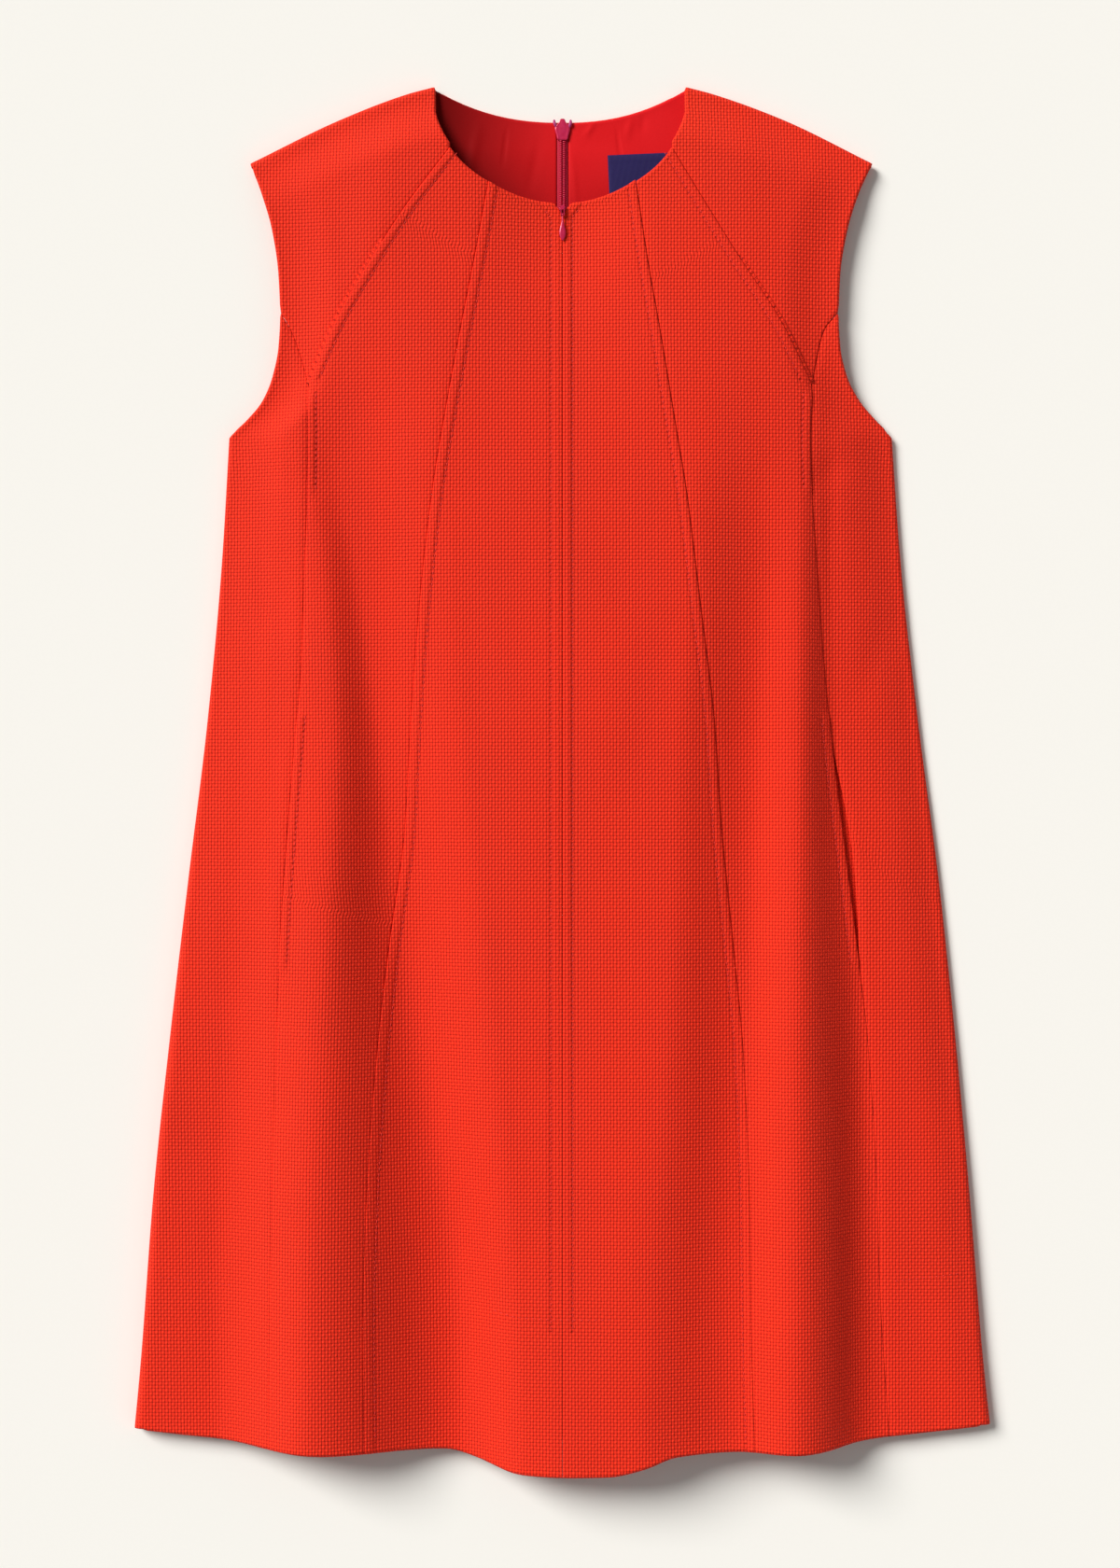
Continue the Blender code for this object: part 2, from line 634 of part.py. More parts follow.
def side_panel(side, look):
    """From the outer seam round the side fold to the back seam."""
    front = on_front(side_front_plan(side))
    top, rim, radius = side_fold(side)
    front[:, -1, 2] = 2 * radius
    rolled = np.stack(roll_over(top, rim, radius)[:-1], axis=1)
    under = top.copy()
    under[-1, 1] = back_hem_drop(top[-1, 0])[0]
    seam = back_seam(side, SEAM_GAP / 2)
    armhole = back_armhole(side, seam[0, 1] + NEAR_CORNER, UNDERARM_DROP)
    armhole = armhole[np.abs(armhole[:, 0]) < abs(under[0, 0]) - NEAR_CORNER]
    armhole = spaced(joined(seam[:1], armhole, under[:1]), BACK_SIDE_COLUMNS)[::-1]
    hem = back_hem_edge(under[-1, 0], seam[-1, 0], BACK_SIDE_COLUMNS)
    hem[[0, -1]] = under[-1], seam[-1]
    back = at_height(patch(armhole, hem, under, seam), 0.0)
    points = np.concatenate([front, rolled, back], axis=1)
    return sheet(f"side_{side_name(side)}", points, look, CLOTH)


def back_armhole(side, first, last):
    """Plan points of the back's armhole edge, a little inside the front's."""
    line = run(ARMHOLE, side, first, last, -BACK_EDGE_IN)
    line[:, 1] += BACK_EDGE_IN / 2
    return line


def shoulder_line(side, inwards):
    """Plan points along the shoulder fold, moved down into the garment."""
    rows = np.array(SHOULDER)
    column = 1 if side == LEFT else 2
    half = np.linspace(rows[0, column], rows[-1, column], EDGE_POINTS)
    line = np.stack([side * half, smooth(half, rows[:, column], rows[:, 0])], axis=1)
    return moved_aside(line, -inwards * side)


def yoke(side, look):
    """Shoulder piece: from the yoke seam up over the shoulder fold to the shoulder seam behind."""
    fold = spaced(shoulder_line(side, SHOULDER_RADIUS), YOKE_COLUMNS)
    rim = spaced(shoulder_line(side, 0.0), YOKE_COLUMNS)
    seam = yoke_seam(side, SEAM_GAP / 2)
    arm_seam = short_seam(side, -SEAM_GAP / 2)
    corner = np.array([(seam[-1, 0] + arm_seam[-1, 0]) / 2, JUNCTION - YOKE_POINT_GAP])
    seam[-1] = arm_seam[-1] = corner
    half = np.linspace(abs(fold[0, 0]), abs(seam[0, 0]), EDGE_POINTS)
    neck = np.stack([side * half, front_neck(side, half)], axis=1)
    between = (neck[:, 1] > fold[0, 1] + NEAR_CORNER) & (neck[:, 1] < seam[0, 1] - NEAR_CORNER)
    neck = joined(fold[:1], neck[between], seam[:1])
    first = ARMHOLE[0][0] + SHOULDER_RADIUS + NEAR_CORNER
    armhole = run(ARMHOLE, side, first, arm_seam[0, 1] - NEAR_CORNER)
    armhole = spaced(joined(fold[-1:], armhole, arm_seam[:1]), YOKE_ROWS - SHORT_ROWS + 1)
    plan = patch(fold, seam, spaced(neck, YOKE_ROWS), joined(armhole, arm_seam))
    front = on_front(plan)
    front[0, :, 2] = 2 * SHOULDER_RADIUS
    rolled = roll_over(fold, rim, np.full(YOKE_COLUMNS, SHOULDER_RADIUS))
    strip = at_height(spaced(shoulder_seam(side, 0.0), YOKE_COLUMNS), 0.0)
    points = np.concatenate([np.stack([strip, *rolled[::-1]]), front], axis=0)
    return sheet(f"yoke_{side_name(side)}", points, look, CLOTH)


def back_panel(side, look):
    """Half of the back, from the centre back to the back seam."""
    shoulder = spaced(shoulder_seam(side, -SEAM_GAP), SHOULDER_POINTS)
    half = np.linspace(SEAM_GAP / 2, abs(shoulder[0, 0]) - NEAR_CORNER, BACK_COLUMNS - SHOULDER_POINTS)
    top = np.concatenate([np.stack([side * half, back_neck(side, half)], axis=1), shoulder])
    seam = back_seam(side, -SEAM_GAP / 2)
    armhole = back_armhole(side, BACK_ARMHOLE_TOP, seam[0, 1] - NEAR_CORNER)
    armhole = spaced(armhole, BACK_ARMHOLE_ROWS)
    outer = np.concatenate([top[-1:], armhole, seam])
    hem = back_hem_edge(side * SEAM_GAP / 2, seam[-1, 0], BACK_COLUMNS)
    hem[-1] = seam[-1]
    middle = np.linspace(top[0], hem[0], len(outer))
    plan = patch(top, hem, middle, outer)
    return sheet(f"back_{side_name(side)}", at_height(plan, 0.0), look, CLOTH, face_up=False)


def lining(side, look):
    """Half of the back neck's lining, lying on the back beside the zip."""
    inner = BACK_TAPE_WIDTH / 2 + SEAM_GAP
    half = np.linspace(inner, NECK_HALF[side] - LINING_CORNER_IN, EDGE_POINTS)
    top = spaced(np.stack([side * half, back_neck(side, half) + LINING_EDGE_IN], axis=1), LINING_ROWS)
    bottom = np.linspace((side * inner, LINING_DROP), (side * LINING_HALF, LINING_DROP), LINING_ROWS)
    outer = np.linspace(top[-1], bottom[-1], LINING_ROWS)
    outer[:, 0] += side * LINING_BULGE * np.sin(np.pi * np.linspace(0, 1, LINING_ROWS))
    plan = patch(top, bottom, np.linspace(top[0], bottom[0], LINING_ROWS), outer)
    height = CLOTH + LAYER_GAP + LINING_WALL
    return sheet(f"back_lining_{side_name(side)}", at_height(plan, height), look, LINING_WALL)


def pocket(side, look):
    """Pocket bag, made from the points of the panels that it lies under, moved in."""
    outer_columns, inner_columns = POCKET_COLUMNS
    under_side = side_front_plan(side)[SHORT_ROWS - 1:, :outer_columns][:, ::-1]
    under_front = front_mid_plan(side)[YOKE_COLUMNS - 1:, -inner_columns:][:, ::-1]
    plan = np.concatenate([under_side, under_front], axis=1)
    drops = under_front[:, 0, 1]
    rows = (drops > POCKET_TOP - POCKET_OVER) & (drops < POCKET_BOTTOM + 2 * POCKET_OVER)
    points = on_front(plan[rows], CLOTH + LAYER_GAP)
    return sheet(f"pocket_{side_name(side)}", points, look, POCKET_WALL)


# ---------------------------------------------------------------- small pieces


def box(name, look, size, centre, bevel=0.0):
    """A block, given by its size and centre as (across, drop, height), its edges rounded if asked."""
    bpy.ops.mesh.primitive_cube_add(size=1.0)
    made = bpy.context.object
    made.name = name
    made.data.name = name
    centre_m = put(centre)
    for vertex in made.data.vertices:
        vertex.co = (
            vertex.co.x * size[0] * METRE + centre_m[0],
            vertex.co.y * size[1] * METRE + centre_m[1],
            vertex.co.z * size[2] * METRE + centre_m[2],
        )
    claim(made, look)
    if bevel:
        round_edges(made, bevel)
    return made


def rod(name, look, radius, length, centre):
    """A round bar along X."""
    bpy.ops.mesh.primitive_cylinder_add(
        vertices=ROD_SEGMENTS, radius=radius * METRE, depth=length * METRE, rotation=(0, math.pi / 2, 0)
    )
    made = bpy.context.object
    made.name = name
    made.data.name = name
    made.location = put(centre)
    bpy.context.view_layer.update()
    made.data.transform(made.matrix_world)
    made.location, made.rotation_euler = (0, 0, 0), (0, 0, 0)
    claim(made, look)
    return made


def claim(made, look):
    """Gives a primitive its material and moves it to the dress's collection."""
    made.data.materials.append(look)
    for holder in list(made.users_collection):
        holder.objects.unlink(made)
    bpy.data.collections[NAME].objects.link(made)


def helper(made):
    """Marks an object as a shape that only serves a Boolean."""
    made.hide_render = True
    made.display_type = "WIRE"
    bpy.data.collections[NAME].objects.unlink(made)
    bpy.data.collections[f"{NAME}_cutters"].objects.link(made)
    return made


def combine(base, other, operation):
    """Adds another shape to this one, or cuts it out, with an exact Boolean."""
    step = base.modifiers.new(operation.lower(), "BOOLEAN")
    step.operation = operation
    step.object = helper(other)


def outline_plate(name, look, outline, thickness, centre, bevel=0.0):
    """A flat plate from an outline in (across, drop) about a centre, its edges rounded if asked."""
    curve = bpy.data.curves.new(name, "CURVE")
    curve.dimensions = "2D"
    curve.fill_mode = "BOTH"
    curve.extrude = thickness / 2 * METRE
    spline = curve.splines.new("POLY")
    spline.use_cyclic_u = True
    spline.points.add(len(outline) - 1)
    for point, (across, drop) in zip(spline.points, outline):
        point.co = (across * METRE, -drop * METRE, 0.0, 1.0)
    guide = bpy.data.objects.new(f"{name}_outline", curve)
    bpy.context.scene.collection.objects.link(guide)
    bpy.context.view_layer.update()
    graph = bpy.context.evaluated_depsgraph_get()
    mesh = bpy.data.meshes.new_from_object(guide.evaluated_get(graph))
    bpy.data.objects.remove(guide, do_unlink=True)
    mesh.name = name
    welded = bmesh.new()
    welded.from_mesh(mesh)
    bmesh.ops.remove_doubles(welded, verts=welded.verts, dist=1e-6)
    bmesh.ops.translate(welded, verts=welded.verts, vec=tuple(put(centre)))
    welded.to_mesh(mesh)
    welded.free()
    mesh.materials.clear()
    made = add_object(name, mesh, look)
    if bevel:
        round_edges(made, bevel)
    return made


def label(look):
    """Plain woven label, a little askew, on the right half of the lining."""
    height = CLOTH + LAYER_GAP + LINING_WALL + LAYER_GAP + LABEL_WALL / 2
    cosine, sine = math.cos(LABEL_TILT), math.sin(LABEL_TILT)
    turn = np.array([[cosine, sine], [-sine, cosine]])
    corners = np.array([[0, 0], [LABEL_WIDTH, 0], [LABEL_WIDTH, LABEL_HEIGHT], [0, LABEL_HEIGHT]])
    outline = corners @ turn
    return outline_plate("label", look, outline, LABEL_WALL, (*LABEL_CORNER, height))


def back_zip(tape_look, metal_look):
    """Centre back zip seen from inside: tape, closed coil and slider."""
    tape_base = CLOTH + LAYER_GAP
    start = BACK_NECK_DROP + LINING_EDGE_IN
    middle = start + BACK_ZIP_LENGTH / 2
    box(
        "back_zip_tape", tape_look,
        (BACK_TAPE_WIDTH, BACK_ZIP_LENGTH, BACK_TAPE_WALL),
        (0.0, middle, tape_base + BACK_TAPE_WALL / 2),
    )
    coil_base = tape_base + BACK_TAPE_WALL + LAYER_GAP
    coil_start = BACK_SLIDER_TOP + BACK_SLIDER_LENGTH + SEAM_GAP
    coil_end = start + BACK_ZIP_LENGTH - BACK_ZIP_STOP
    box(
        "back_zip_coil", tape_look,
        (BACK_COIL_WIDTH, coil_end - coil_start, BACK_COIL_WALL),
        (0.0, (coil_start + coil_end) / 2, coil_base + BACK_COIL_WALL / 2),
        bevel=COIL_BEVEL,
    )
    outline = [(BACK_SLIDER_WIDTH / 2 * across, BACK_SLIDER_LENGTH * down) for across, down in SLIDER_OUTLINE]
    outline += [(-across, down) for across, down in reversed(outline)]
    outline_plate(
        "back_zip_slider", metal_look, outline, BACK_SLIDER_WALL,
        (0.0, BACK_SLIDER_TOP, coil_base + BACK_SLIDER_WALL / 2), bevel=BACK_SLIDER_BEVEL,
    )


def front_zip(tape_look, metal_look):
    """Concealed zip behind the centre front: tape, slider with its ears, and the pull."""
    first = FRONT_SLIDER_TOP + FRONT_SLIDER_LENGTH + FRONT_TAPE_BELOW
    drops = np.linspace(first, FRONT_ZIP_LENGTH, FRONT_TAPE_ROWS)
    across = np.linspace(-FRONT_TAPE_WIDTH / 2, FRONT_TAPE_WIDTH / 2, 3)
    plan = np.stack(np.meshgrid(across, drops), axis=-1)
    sheet("front_zip_tape", on_front(plan, CLOTH + LAYER_GAP), tape_look, FRONT_TAPE_WALL)

    slider_middle = FRONT_SLIDER_TOP + FRONT_SLIDER_LENGTH / 2
    cloth_under = front_height([0.0], [slider_middle])[0] - CLOTH
    body_top = cloth_under - LAYER_GAP
    body = box(
        "front_zip_slider", metal_look,
        (FRONT_SLIDER_WIDTH, FRONT_SLIDER_LENGTH, FRONT_SLIDER_WALL),
        (0.0, slider_middle, body_top - FRONT_SLIDER_WALL / 2),
        bevel=FRONT_SLIDER_BEVEL,
    )
    ear_across = EYE_WIDTH / 2 + EAR_CLEARANCE + EAR_WALL / 2
    nose_height = PIN_HEIGHT + EAR_RADIUS - body_top + EAR_SUNK
    nose_middle = FRONT_SLIDER_TOP + NOSE_LENGTH / 2
    nose = box("nose", metal_look, (2 * ear_across + EAR_WALL, NOSE_LENGTH, nose_height),
               (0.0, nose_middle, body_top - EAR_SUNK + nose_height / 2))
    combine(body, nose, "UNION")
    for side in (LEFT, RIGHT):
        word = side_name(side)
        arm = box(f"ear_arm_{word}", metal_look, (EAR_WALL, PIN_DROP - nose_middle, 2 * EAR_RADIUS),
                  (side * ear_across, (PIN_DROP + nose_middle) / 2, PIN_HEIGHT))
        combine(body, arm, "UNION")
        ear = rod(f"ear_{word}", metal_look, EAR_RADIUS, EAR_WALL, (side * ear_across, PIN_DROP, PIN_HEIGHT))
        combine(body, ear, "UNION")
    pin = rod("ear_pin", metal_look, PIN_RADIUS, 2 * ear_across, (0.0, PIN_DROP, PIN_HEIGHT))
    combine(body, pin, "UNION")
    pull(metal_look)


def pull(look):
    """Teardrop pull: an eye round the slider's pin, a thin neck and a drop-shaped tab."""
    eye = rod("front_zip_pull", look, EYE_RADIUS, EYE_WIDTH, (0.0, PIN_DROP, PIN_HEIGHT))
    outline = list(PULL_OUTLINE)
    outline += [(-across, down) for across, down in reversed(outline)]
    tab = outline_plate("pull_tab", look, outline, PULL_WALL, (0.0, PIN_DROP, PIN_HEIGHT), bevel=PULL_BEVEL)
    combine(eye, tab, "UNION")
    hole = rod("pull_hole", look, EYE_HOLE, 2 * EYE_WIDTH, (0.0, PIN_DROP, PIN_HEIGHT))
    combine(eye, hole, "DIFFERENCE")


def main():
    """Builds every piece of both sides, then the label and the zips."""
    clear_scene()
    for name in (NAME, f"{NAME}_cutters"):
        bpy.context.scene.collection.children.link(bpy.data.collections.new(name))
    cloth = material("red_basket_weave", RED, 0.85)
    lining_cloth = material("red_lining", LINING_RED, 0.6)
    tape = material("crimson_zip", TAPE_RED, 0.55)
    metal = material("crimson_enamel", TAPE_RED, 0.35, 0.4)
    navy = material("navy_label", NAVY, 0.7)
    for side in (LEFT, RIGHT):
        front_centre(side, cloth)
        front_mid(side, cloth)
        yoke(side, cloth)
        side_panel(side, cloth)
        back_panel(side, cloth)
        lining(side, lining_cloth)
        pocket(side, cloth)
    label(navy)
    back_zip(tape, metal)
    front_zip(tape, metal)


main()
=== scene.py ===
"""Looks of a sleeveless swing dress in thick basket-weave cloth, laid flat on its back, front up.

Sizes are in millimetres until `metres` puts them in the frame. A place on the cloth is a plan point,
which is a distance to the right of the centre line and a drop below the neck point, and a height
above the surface. Grids of points are arrays of rows x columns x (across, drop, height).
"""

import logging
import math
from dataclasses import dataclass, field
from enum import Enum
from typing import Any, Callable, Sequence

import bmesh
import bpy
import numpy as np
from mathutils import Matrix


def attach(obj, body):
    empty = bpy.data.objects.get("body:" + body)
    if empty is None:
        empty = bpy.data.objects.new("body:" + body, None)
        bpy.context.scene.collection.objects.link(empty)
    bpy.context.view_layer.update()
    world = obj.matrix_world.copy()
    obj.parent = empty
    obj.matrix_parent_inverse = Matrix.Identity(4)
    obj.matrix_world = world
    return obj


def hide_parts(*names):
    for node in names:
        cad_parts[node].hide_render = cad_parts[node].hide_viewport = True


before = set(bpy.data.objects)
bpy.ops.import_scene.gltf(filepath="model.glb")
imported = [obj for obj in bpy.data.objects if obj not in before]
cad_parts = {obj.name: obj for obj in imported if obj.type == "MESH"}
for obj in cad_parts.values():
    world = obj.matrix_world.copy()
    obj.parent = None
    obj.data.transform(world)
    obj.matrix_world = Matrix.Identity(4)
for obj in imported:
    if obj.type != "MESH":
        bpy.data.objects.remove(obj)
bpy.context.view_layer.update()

LOG = logging.getLogger("swing_dress")
Array = np.ndarray
Colour = tuple[float, float, float]

MM = 0.001
LENGTH = 871.0  # neck point to the lowest point of the hem
CLOTH = 2.0
LAYER_GAP = 0.3
HALF_SEAM = 0.05  # half of the slit that shows along a seam
FAR = 60.0  # a distance from the stitches that counts as none
NEAR_GRAIN = 3.0  # a row that ends this close to its grain line is read as sloping on to it
STEEPEST = 1.5  # and at most this steeply

# Close rows and columns along the edges of a panel, as distances from the edge, and even ones between.
NEAR_EDGE = np.array([0.0, 0.35, 0.8, 1.4, 2.1, 3.0, 4.0, 5.0, 6.0, 7.0, 8.2, 9.8, 12.0])
NEAR_SHARE = 0.42  # largest share of a width that the close ones take at each edge
EVEN_STEP = 3.4
BACK_STEP = 7.0


class Side(Enum):
    """A side of the dress as the viewer sees it."""

    LEFT = -1
    RIGHT = 1

    @property
    def word(self) -> str:
        """The side's name in the names of pieces."""
        return self.name.lower()


# ---------------------------------------------------------------- curves


def smooth(at: Any, knots: Any, values: Any) -> Array:
    """Monotone cubic through knots: harmonic mean of the slopes at each knot, zero at a turning point.

    Args:
        at: Places to read the curve at.
        knots: Rising knots, one row for all places or one row for each.
        values: Values at the knots, shaped as the knots are.

    Returns:
        One value for each place.
    """
    at = np.atleast_1d(np.asarray(at, float))
    knots = np.broadcast_to(np.asarray(knots, float), (at.size, np.shape(knots)[-1]))
    values = np.broadcast_to(np.asarray(values, float), knots.shape)
    rise = np.diff(values, axis=1) / np.diff(knots, axis=1)
    before, after = rise[:, :-1], rise[:, 1:]
    same_way = before * after > 0
    inner = np.where(same_way, 2 * before * after / np.where(same_way, before + after, 1.0), 0.0)
    slope = np.concatenate([rise[:, :1], inner, rise[:, -1:]], axis=1)
    k = (knots[:, 1:-1] <= at[:, None]).sum(axis=1)
    row = np.arange(at.size)
    h = knots[row, k + 1] - knots[row, k]
    t = np.clip((at - knots[row, k]) / h, 0.0, 1.0)
    y0, y1, m0, m1 = values[row, k], values[row, k + 1], slope[row, k] * h, slope[row, k + 1] * h
    return y0 + t * m0 + t**2 * (3 * (y1 - y0) - 2 * m0 - m1) + t**3 * (2 * (y0 - y1) + m0 + m1)


def ease(t: Any) -> Array:
    """0 to 1 with level ends: three t squared less two t cubed."""
    t = np.clip(t, 0.0, 1.0)
    return t * t * (3 - 2 * t)


def bump(distance: Any, width: float) -> Array:
    """A bell of height 1: e to the minus square of distance over width."""
    return np.exp(-((distance / width) ** 2))


def at_share(line: Array, share: Any) -> Array:
    """Points of a polyline at shares of its length, for shares of any shape."""
    along = np.concatenate([[0.0], np.cumsum(np.linalg.norm(np.diff(line, axis=0), axis=1))])
    return np.stack([np.interp(np.asarray(share) * along[-1], along, line[:, k])
                     for k in range(line.shape[1])], axis=-1)


def length_of(line: Array) -> float:
    """Length of a polyline."""
    return float(np.linalg.norm(np.diff(line, axis=0), axis=1).sum())


def moved_aside(line: Array, distance: float) -> Array:
    """The polyline moved to its left, seen along its course with drops growing downwards."""
    along = np.gradient(line, axis=0)
    along /= np.linalg.norm(along, axis=1)[:, None]
    return line + distance * np.stack([along[:, 1], -along[:, 0]], axis=1)


def joined(*lines: Array) -> Array:
    """One polyline from several that follow each other. A longer line's first point repeats the last."""
    return np.concatenate([lines[0]] + [line[min(1, len(line) - 1):] for line in lines[1:]])


def sided(side: Side, half: Any, drop: Any) -> Array:
    """Plan points from distances to one side of the centre line, and drops."""
    return np.stack([side.value * half, drop], axis=1)


def between(first: Array, last: Array, drop_at: Callable[[Array], Array], count: int) -> Array:
    """Plan points along a curve from one corner to another, ending exactly in both."""
    across = np.linspace(first[0], last[0], count)
    line = np.stack([across, drop_at(across)], axis=1)
    line[[0, -1]] = first, last
    return line


def beside(plan: Array, line: Array) -> tuple[Array, Array]:
    """Distance of plan points from a polyline, by the nearest foot on any of its segments.

    Args:
        plan: Plan points, any shape ending in 2.
        line: The polyline.

    Returns:
        The distance of each point, and how far along the line its foot is.
    """
    step = np.diff(line, axis=0)
    length = np.linalg.norm(step, axis=1)
    offset = plan[..., None, :] - line[:-1]
    share = np.clip((offset * step).sum(-1) / length**2, 0.0, 1.0)
    gap = np.linalg.norm(offset - share[..., None] * step, axis=-1)
    best = gap.argmin(-1)[..., None]
    start = np.concatenate([[0.0], np.cumsum(length)[:-1]])
    foot = start[best] + np.take_along_axis(share, best, -1) * length[best]
    return np.take_along_axis(gap, best, -1)[..., 0], foot[..., 0]


def graded(width: Any, step: float = EVEN_STEP) -> Array:
    """Shares of a strip's width, close together along both edges and even between them.

    Args:
        width: One width, or one for each row of a panel.
        step: Largest even spacing wanted.

    Returns:
        Shares from 0 to 1, as one row for each width.
    """
    width = np.atleast_1d(np.asarray(width, float))[:, None]
    near = NEAR_EDGE[None] * np.minimum(1.0, NEAR_SHARE * width / NEAR_EDGE[-1])
    count = max(2, math.ceil((width.max() - 2 * NEAR_EDGE[-1]) / step))
    between = np.linspace(0.0, 1.0, count + 1)[1:-1]
    middle = near[:, -1:] + (width - 2 * near[:, -1:]) * between
    return np.concatenate([near, middle, (width - near)[:, ::-1]], axis=1) / width


def patch(top: Array, bottom: Array, start: Array, end: Array, u: Array, v: Array) -> Array:
    """Coons patch: the sum of the two ruled surfaces between opposite edges, less the bilinear one.

    Args:
        top: Edge polyline of the first row.
        bottom: Edge polyline of the last row.
        start: Points of the first column, one for each row.
        end: Points of the last column, one for each row.
        u: Shares across, rows x columns.
        v: Shares down, one for each row.

    Returns:
        Plan points, rows x columns x 2.
    """
    across, down = u[..., None], np.asarray(v)[:, None, None]
    corners = ((1 - across) * (1 - down) * top[0] + across * (1 - down) * top[-1]
               + (1 - across) * down * bottom[0] + across * down * bottom[-1])
    return ((1 - down) * at_share(top, u) + down * at_share(bottom, u)
            + (1 - across) * start[:, None] + across * end[:, None] - corners)


def panel(top: Array, bottom: Array, start: Array, end: Array, v: Array, step: float = EVEN_STEP) -> Array:
    """Coons patch whose columns are graded over each row's own width."""
    return patch(top, bottom, start, end, graded(np.linalg.norm(end - start, axis=1), step), v)


def metres(points: Array) -> Array:
    """Metres in the frame, from (distance right of the centre, drop, height) in millimetres."""
    return np.stack([points[..., 0], LENGTH / 2 - points[..., 1], points[..., 2]], axis=-1) * MM


# ---------------------------------------------------------------- the cut


@dataclass(frozen=True)
class Course:
    """A line of the cut. Columns: drop, distance from the centre on the left, on the right."""

    rows: tuple[tuple[float, float, float], ...]

    def half(self, side: Side, drop: Any) -> Array:
        """Distance from the centre line at a drop."""
        table = np.array(self.rows)
        return smooth(drop, table[:, 0], table[:, 1 if side is Side.LEFT else 2])

    def line(self, side: Side, first: float, last: float, outwards: float = 0.0) -> Array:
        """Plan points from one drop to another, moved away from the centre by a distance."""
        drop = np.linspace(first, last, 120)
        return sided(side, self.half(side, drop) + outwards, drop)


@dataclass(frozen=True)
class Cut:
    """Outlines and seams of the dress as it lies."""

    shoulder: Course = Course((
        (0.0, 81.0, 78.0), (4.5, 98.0, 95.0), (21.0, 141.0, 140.0), (48.5, 197.5, 196.0)))
    armhole: Course = Course((
        (48.5, 197.5, 196.0), (68.0, 190.0, 187.0), (92.0, 183.0, 179.5), (120.0, 179.0, 175.0),
        (146.0, 178.0, 174.0), (165.0, 179.0, 175.0), (184.0, 183.0, 179.5), (199.0, 189.5, 187.5),
        (211.0, 199.5, 198.0), (219.0, 208.0, 206.0), (223.5, 211.0, 208.5)))
    side: Course = Course((
        (223.5, 211.0, 208.5), (300.0, 215.5, 214.0), (400.0, 224.5, 225.0), (500.0, 236.5, 238.0),
        (600.0, 248.0, 248.5), (700.0, 258.5, 257.5), (800.0, 266.0, 265.5), (850.0, 270.5, 270.5)))
    yoke_seam: Course = Course((
        (41.0, 70.5, 68.5), (75.0, 96.0, 89.0), (112.0, 120.0, 112.0), (150.0, 142.0, 137.0),
        (190.0, 160.0, 157.0)))
    short_seam: Course = Course((
        (144.0, 177.5, 173.5), (155.0, 171.0, 164.5), (173.0, 164.5, 160.0), (190.0, 160.0, 157.0)))
    inner_seam: Course = Course((
        (62.0, 46.5, 46.0), (110.0, 55.0, 53.0), (160.0, 64.5, 61.5), (210.0, 73.5, 69.5),
        (260.0, 81.5, 77.5), (330.0, 89.5, 86.0), (400.0, 95.0, 94.5), (470.0, 99.0, 99.5),
        (540.0, 108.5, 106.5), (610.0, 116.0, 113.0), (700.0, 122.0, 116.5), (780.0, 124.0, 117.5),
        (858.0, 123.0, 119.5)))
    outer_seam: Course = Course((
        (190.0, 160.0, 157.0), (225.0, 159.5, 155.5), (260.0, 160.0, 157.0), (310.0, 162.0, 160.5),
        (360.0, 163.5, 164.0), (420.0, 168.0, 170.0), (480.0, 172.5, 177.5), (540.0, 176.5, 185.0),
        (600.0, 179.0, 192.0), (680.0, 181.0, 197.5), (760.0, 182.5, 200.0), (855.0, 183.5, 206.0)))
    back_seam: Course = Course((
        (150.0, 172.0, 168.5), (190.0, 158.0, 156.0), (260.0, 150.0, 149.0), (420.0, 152.0, 151.0),
        (600.0, 161.0, 160.0), (848.0, 172.0, 171.0)))
    # Columns: distance to the right of the centre, drop of the front edge.
    hem: tuple[tuple[float, float], ...] = (
        (-270.5, 847.0), (-214.0, 853.0), (-155.0, 856.5), (-74.0, 859.0), (-55.0, 863.5), (-28.0, 870.0),
        (0.0, 871.0), (28.0, 870.5), (50.0, 866.0), (72.0, 859.0), (112.0, 857.0), (150.0, 856.5),
        (204.0, 852.0), (270.5, 845.0))
    neck_half: tuple[float, float] = (82.0, 79.0)
    front_neck_depth: float = 75.0
    back_neck_depth: float = 21.5
    back_neck_power: float = 2.3
    back_hem: tuple[float, float, float] = (856.0, 843.0, 270.0)  # drop in the middle, at the side; half width
    back_edge_in: float = 3.0  # how far the back's armhole stays inside the front's
    side_end: float = 848.0  # drop where the side fold and the back seam end
    junction: float = 190.0  # drop where the yoke, short and outer seams meet
    yoke_point_gap: float = 0.8
    underarm: float = 222.0
    underarm_dip: float = 3.5
    shoulder_radius: float = 4.0
    shoulder_strip: float = 4.0
    underarm_radius: float = 3.6
    hem_radius: float = 6.0
    radius_grows_over: float = 400.0

    def neck_share(self, side: Side, half: Any) -> Array:
        """How far out a distance is, as a share of half the neck's width."""
        return np.clip(half / self.neck_half[side is Side.RIGHT], 0.0, 1.0)

    def front_neck(self, side: Side, half: Any) -> Array:
        """Drop of the front neckline, a quarter of an ellipse."""
        return self.front_neck_depth * np.sqrt(1 - self.neck_share(side, half) ** 2)

    def back_neck(self, side: Side, half: Any) -> Array:
        """Drop of the back neckline: its depth less a power of the share out."""
        return self.back_neck_depth * (1 - self.neck_share(side, half) ** self.back_neck_power)

    def hem_drop(self, across: Any) -> Array:
        """Drop of the front hem."""
        table = np.array(self.hem)
        return smooth(across, table[:, 0], table[:, 1])

    def hem_line(self, first: Array, last: Array) -> Array:
        """Plan points of the front hem between two corners."""
        return between(first, last, self.hem_drop, 100)

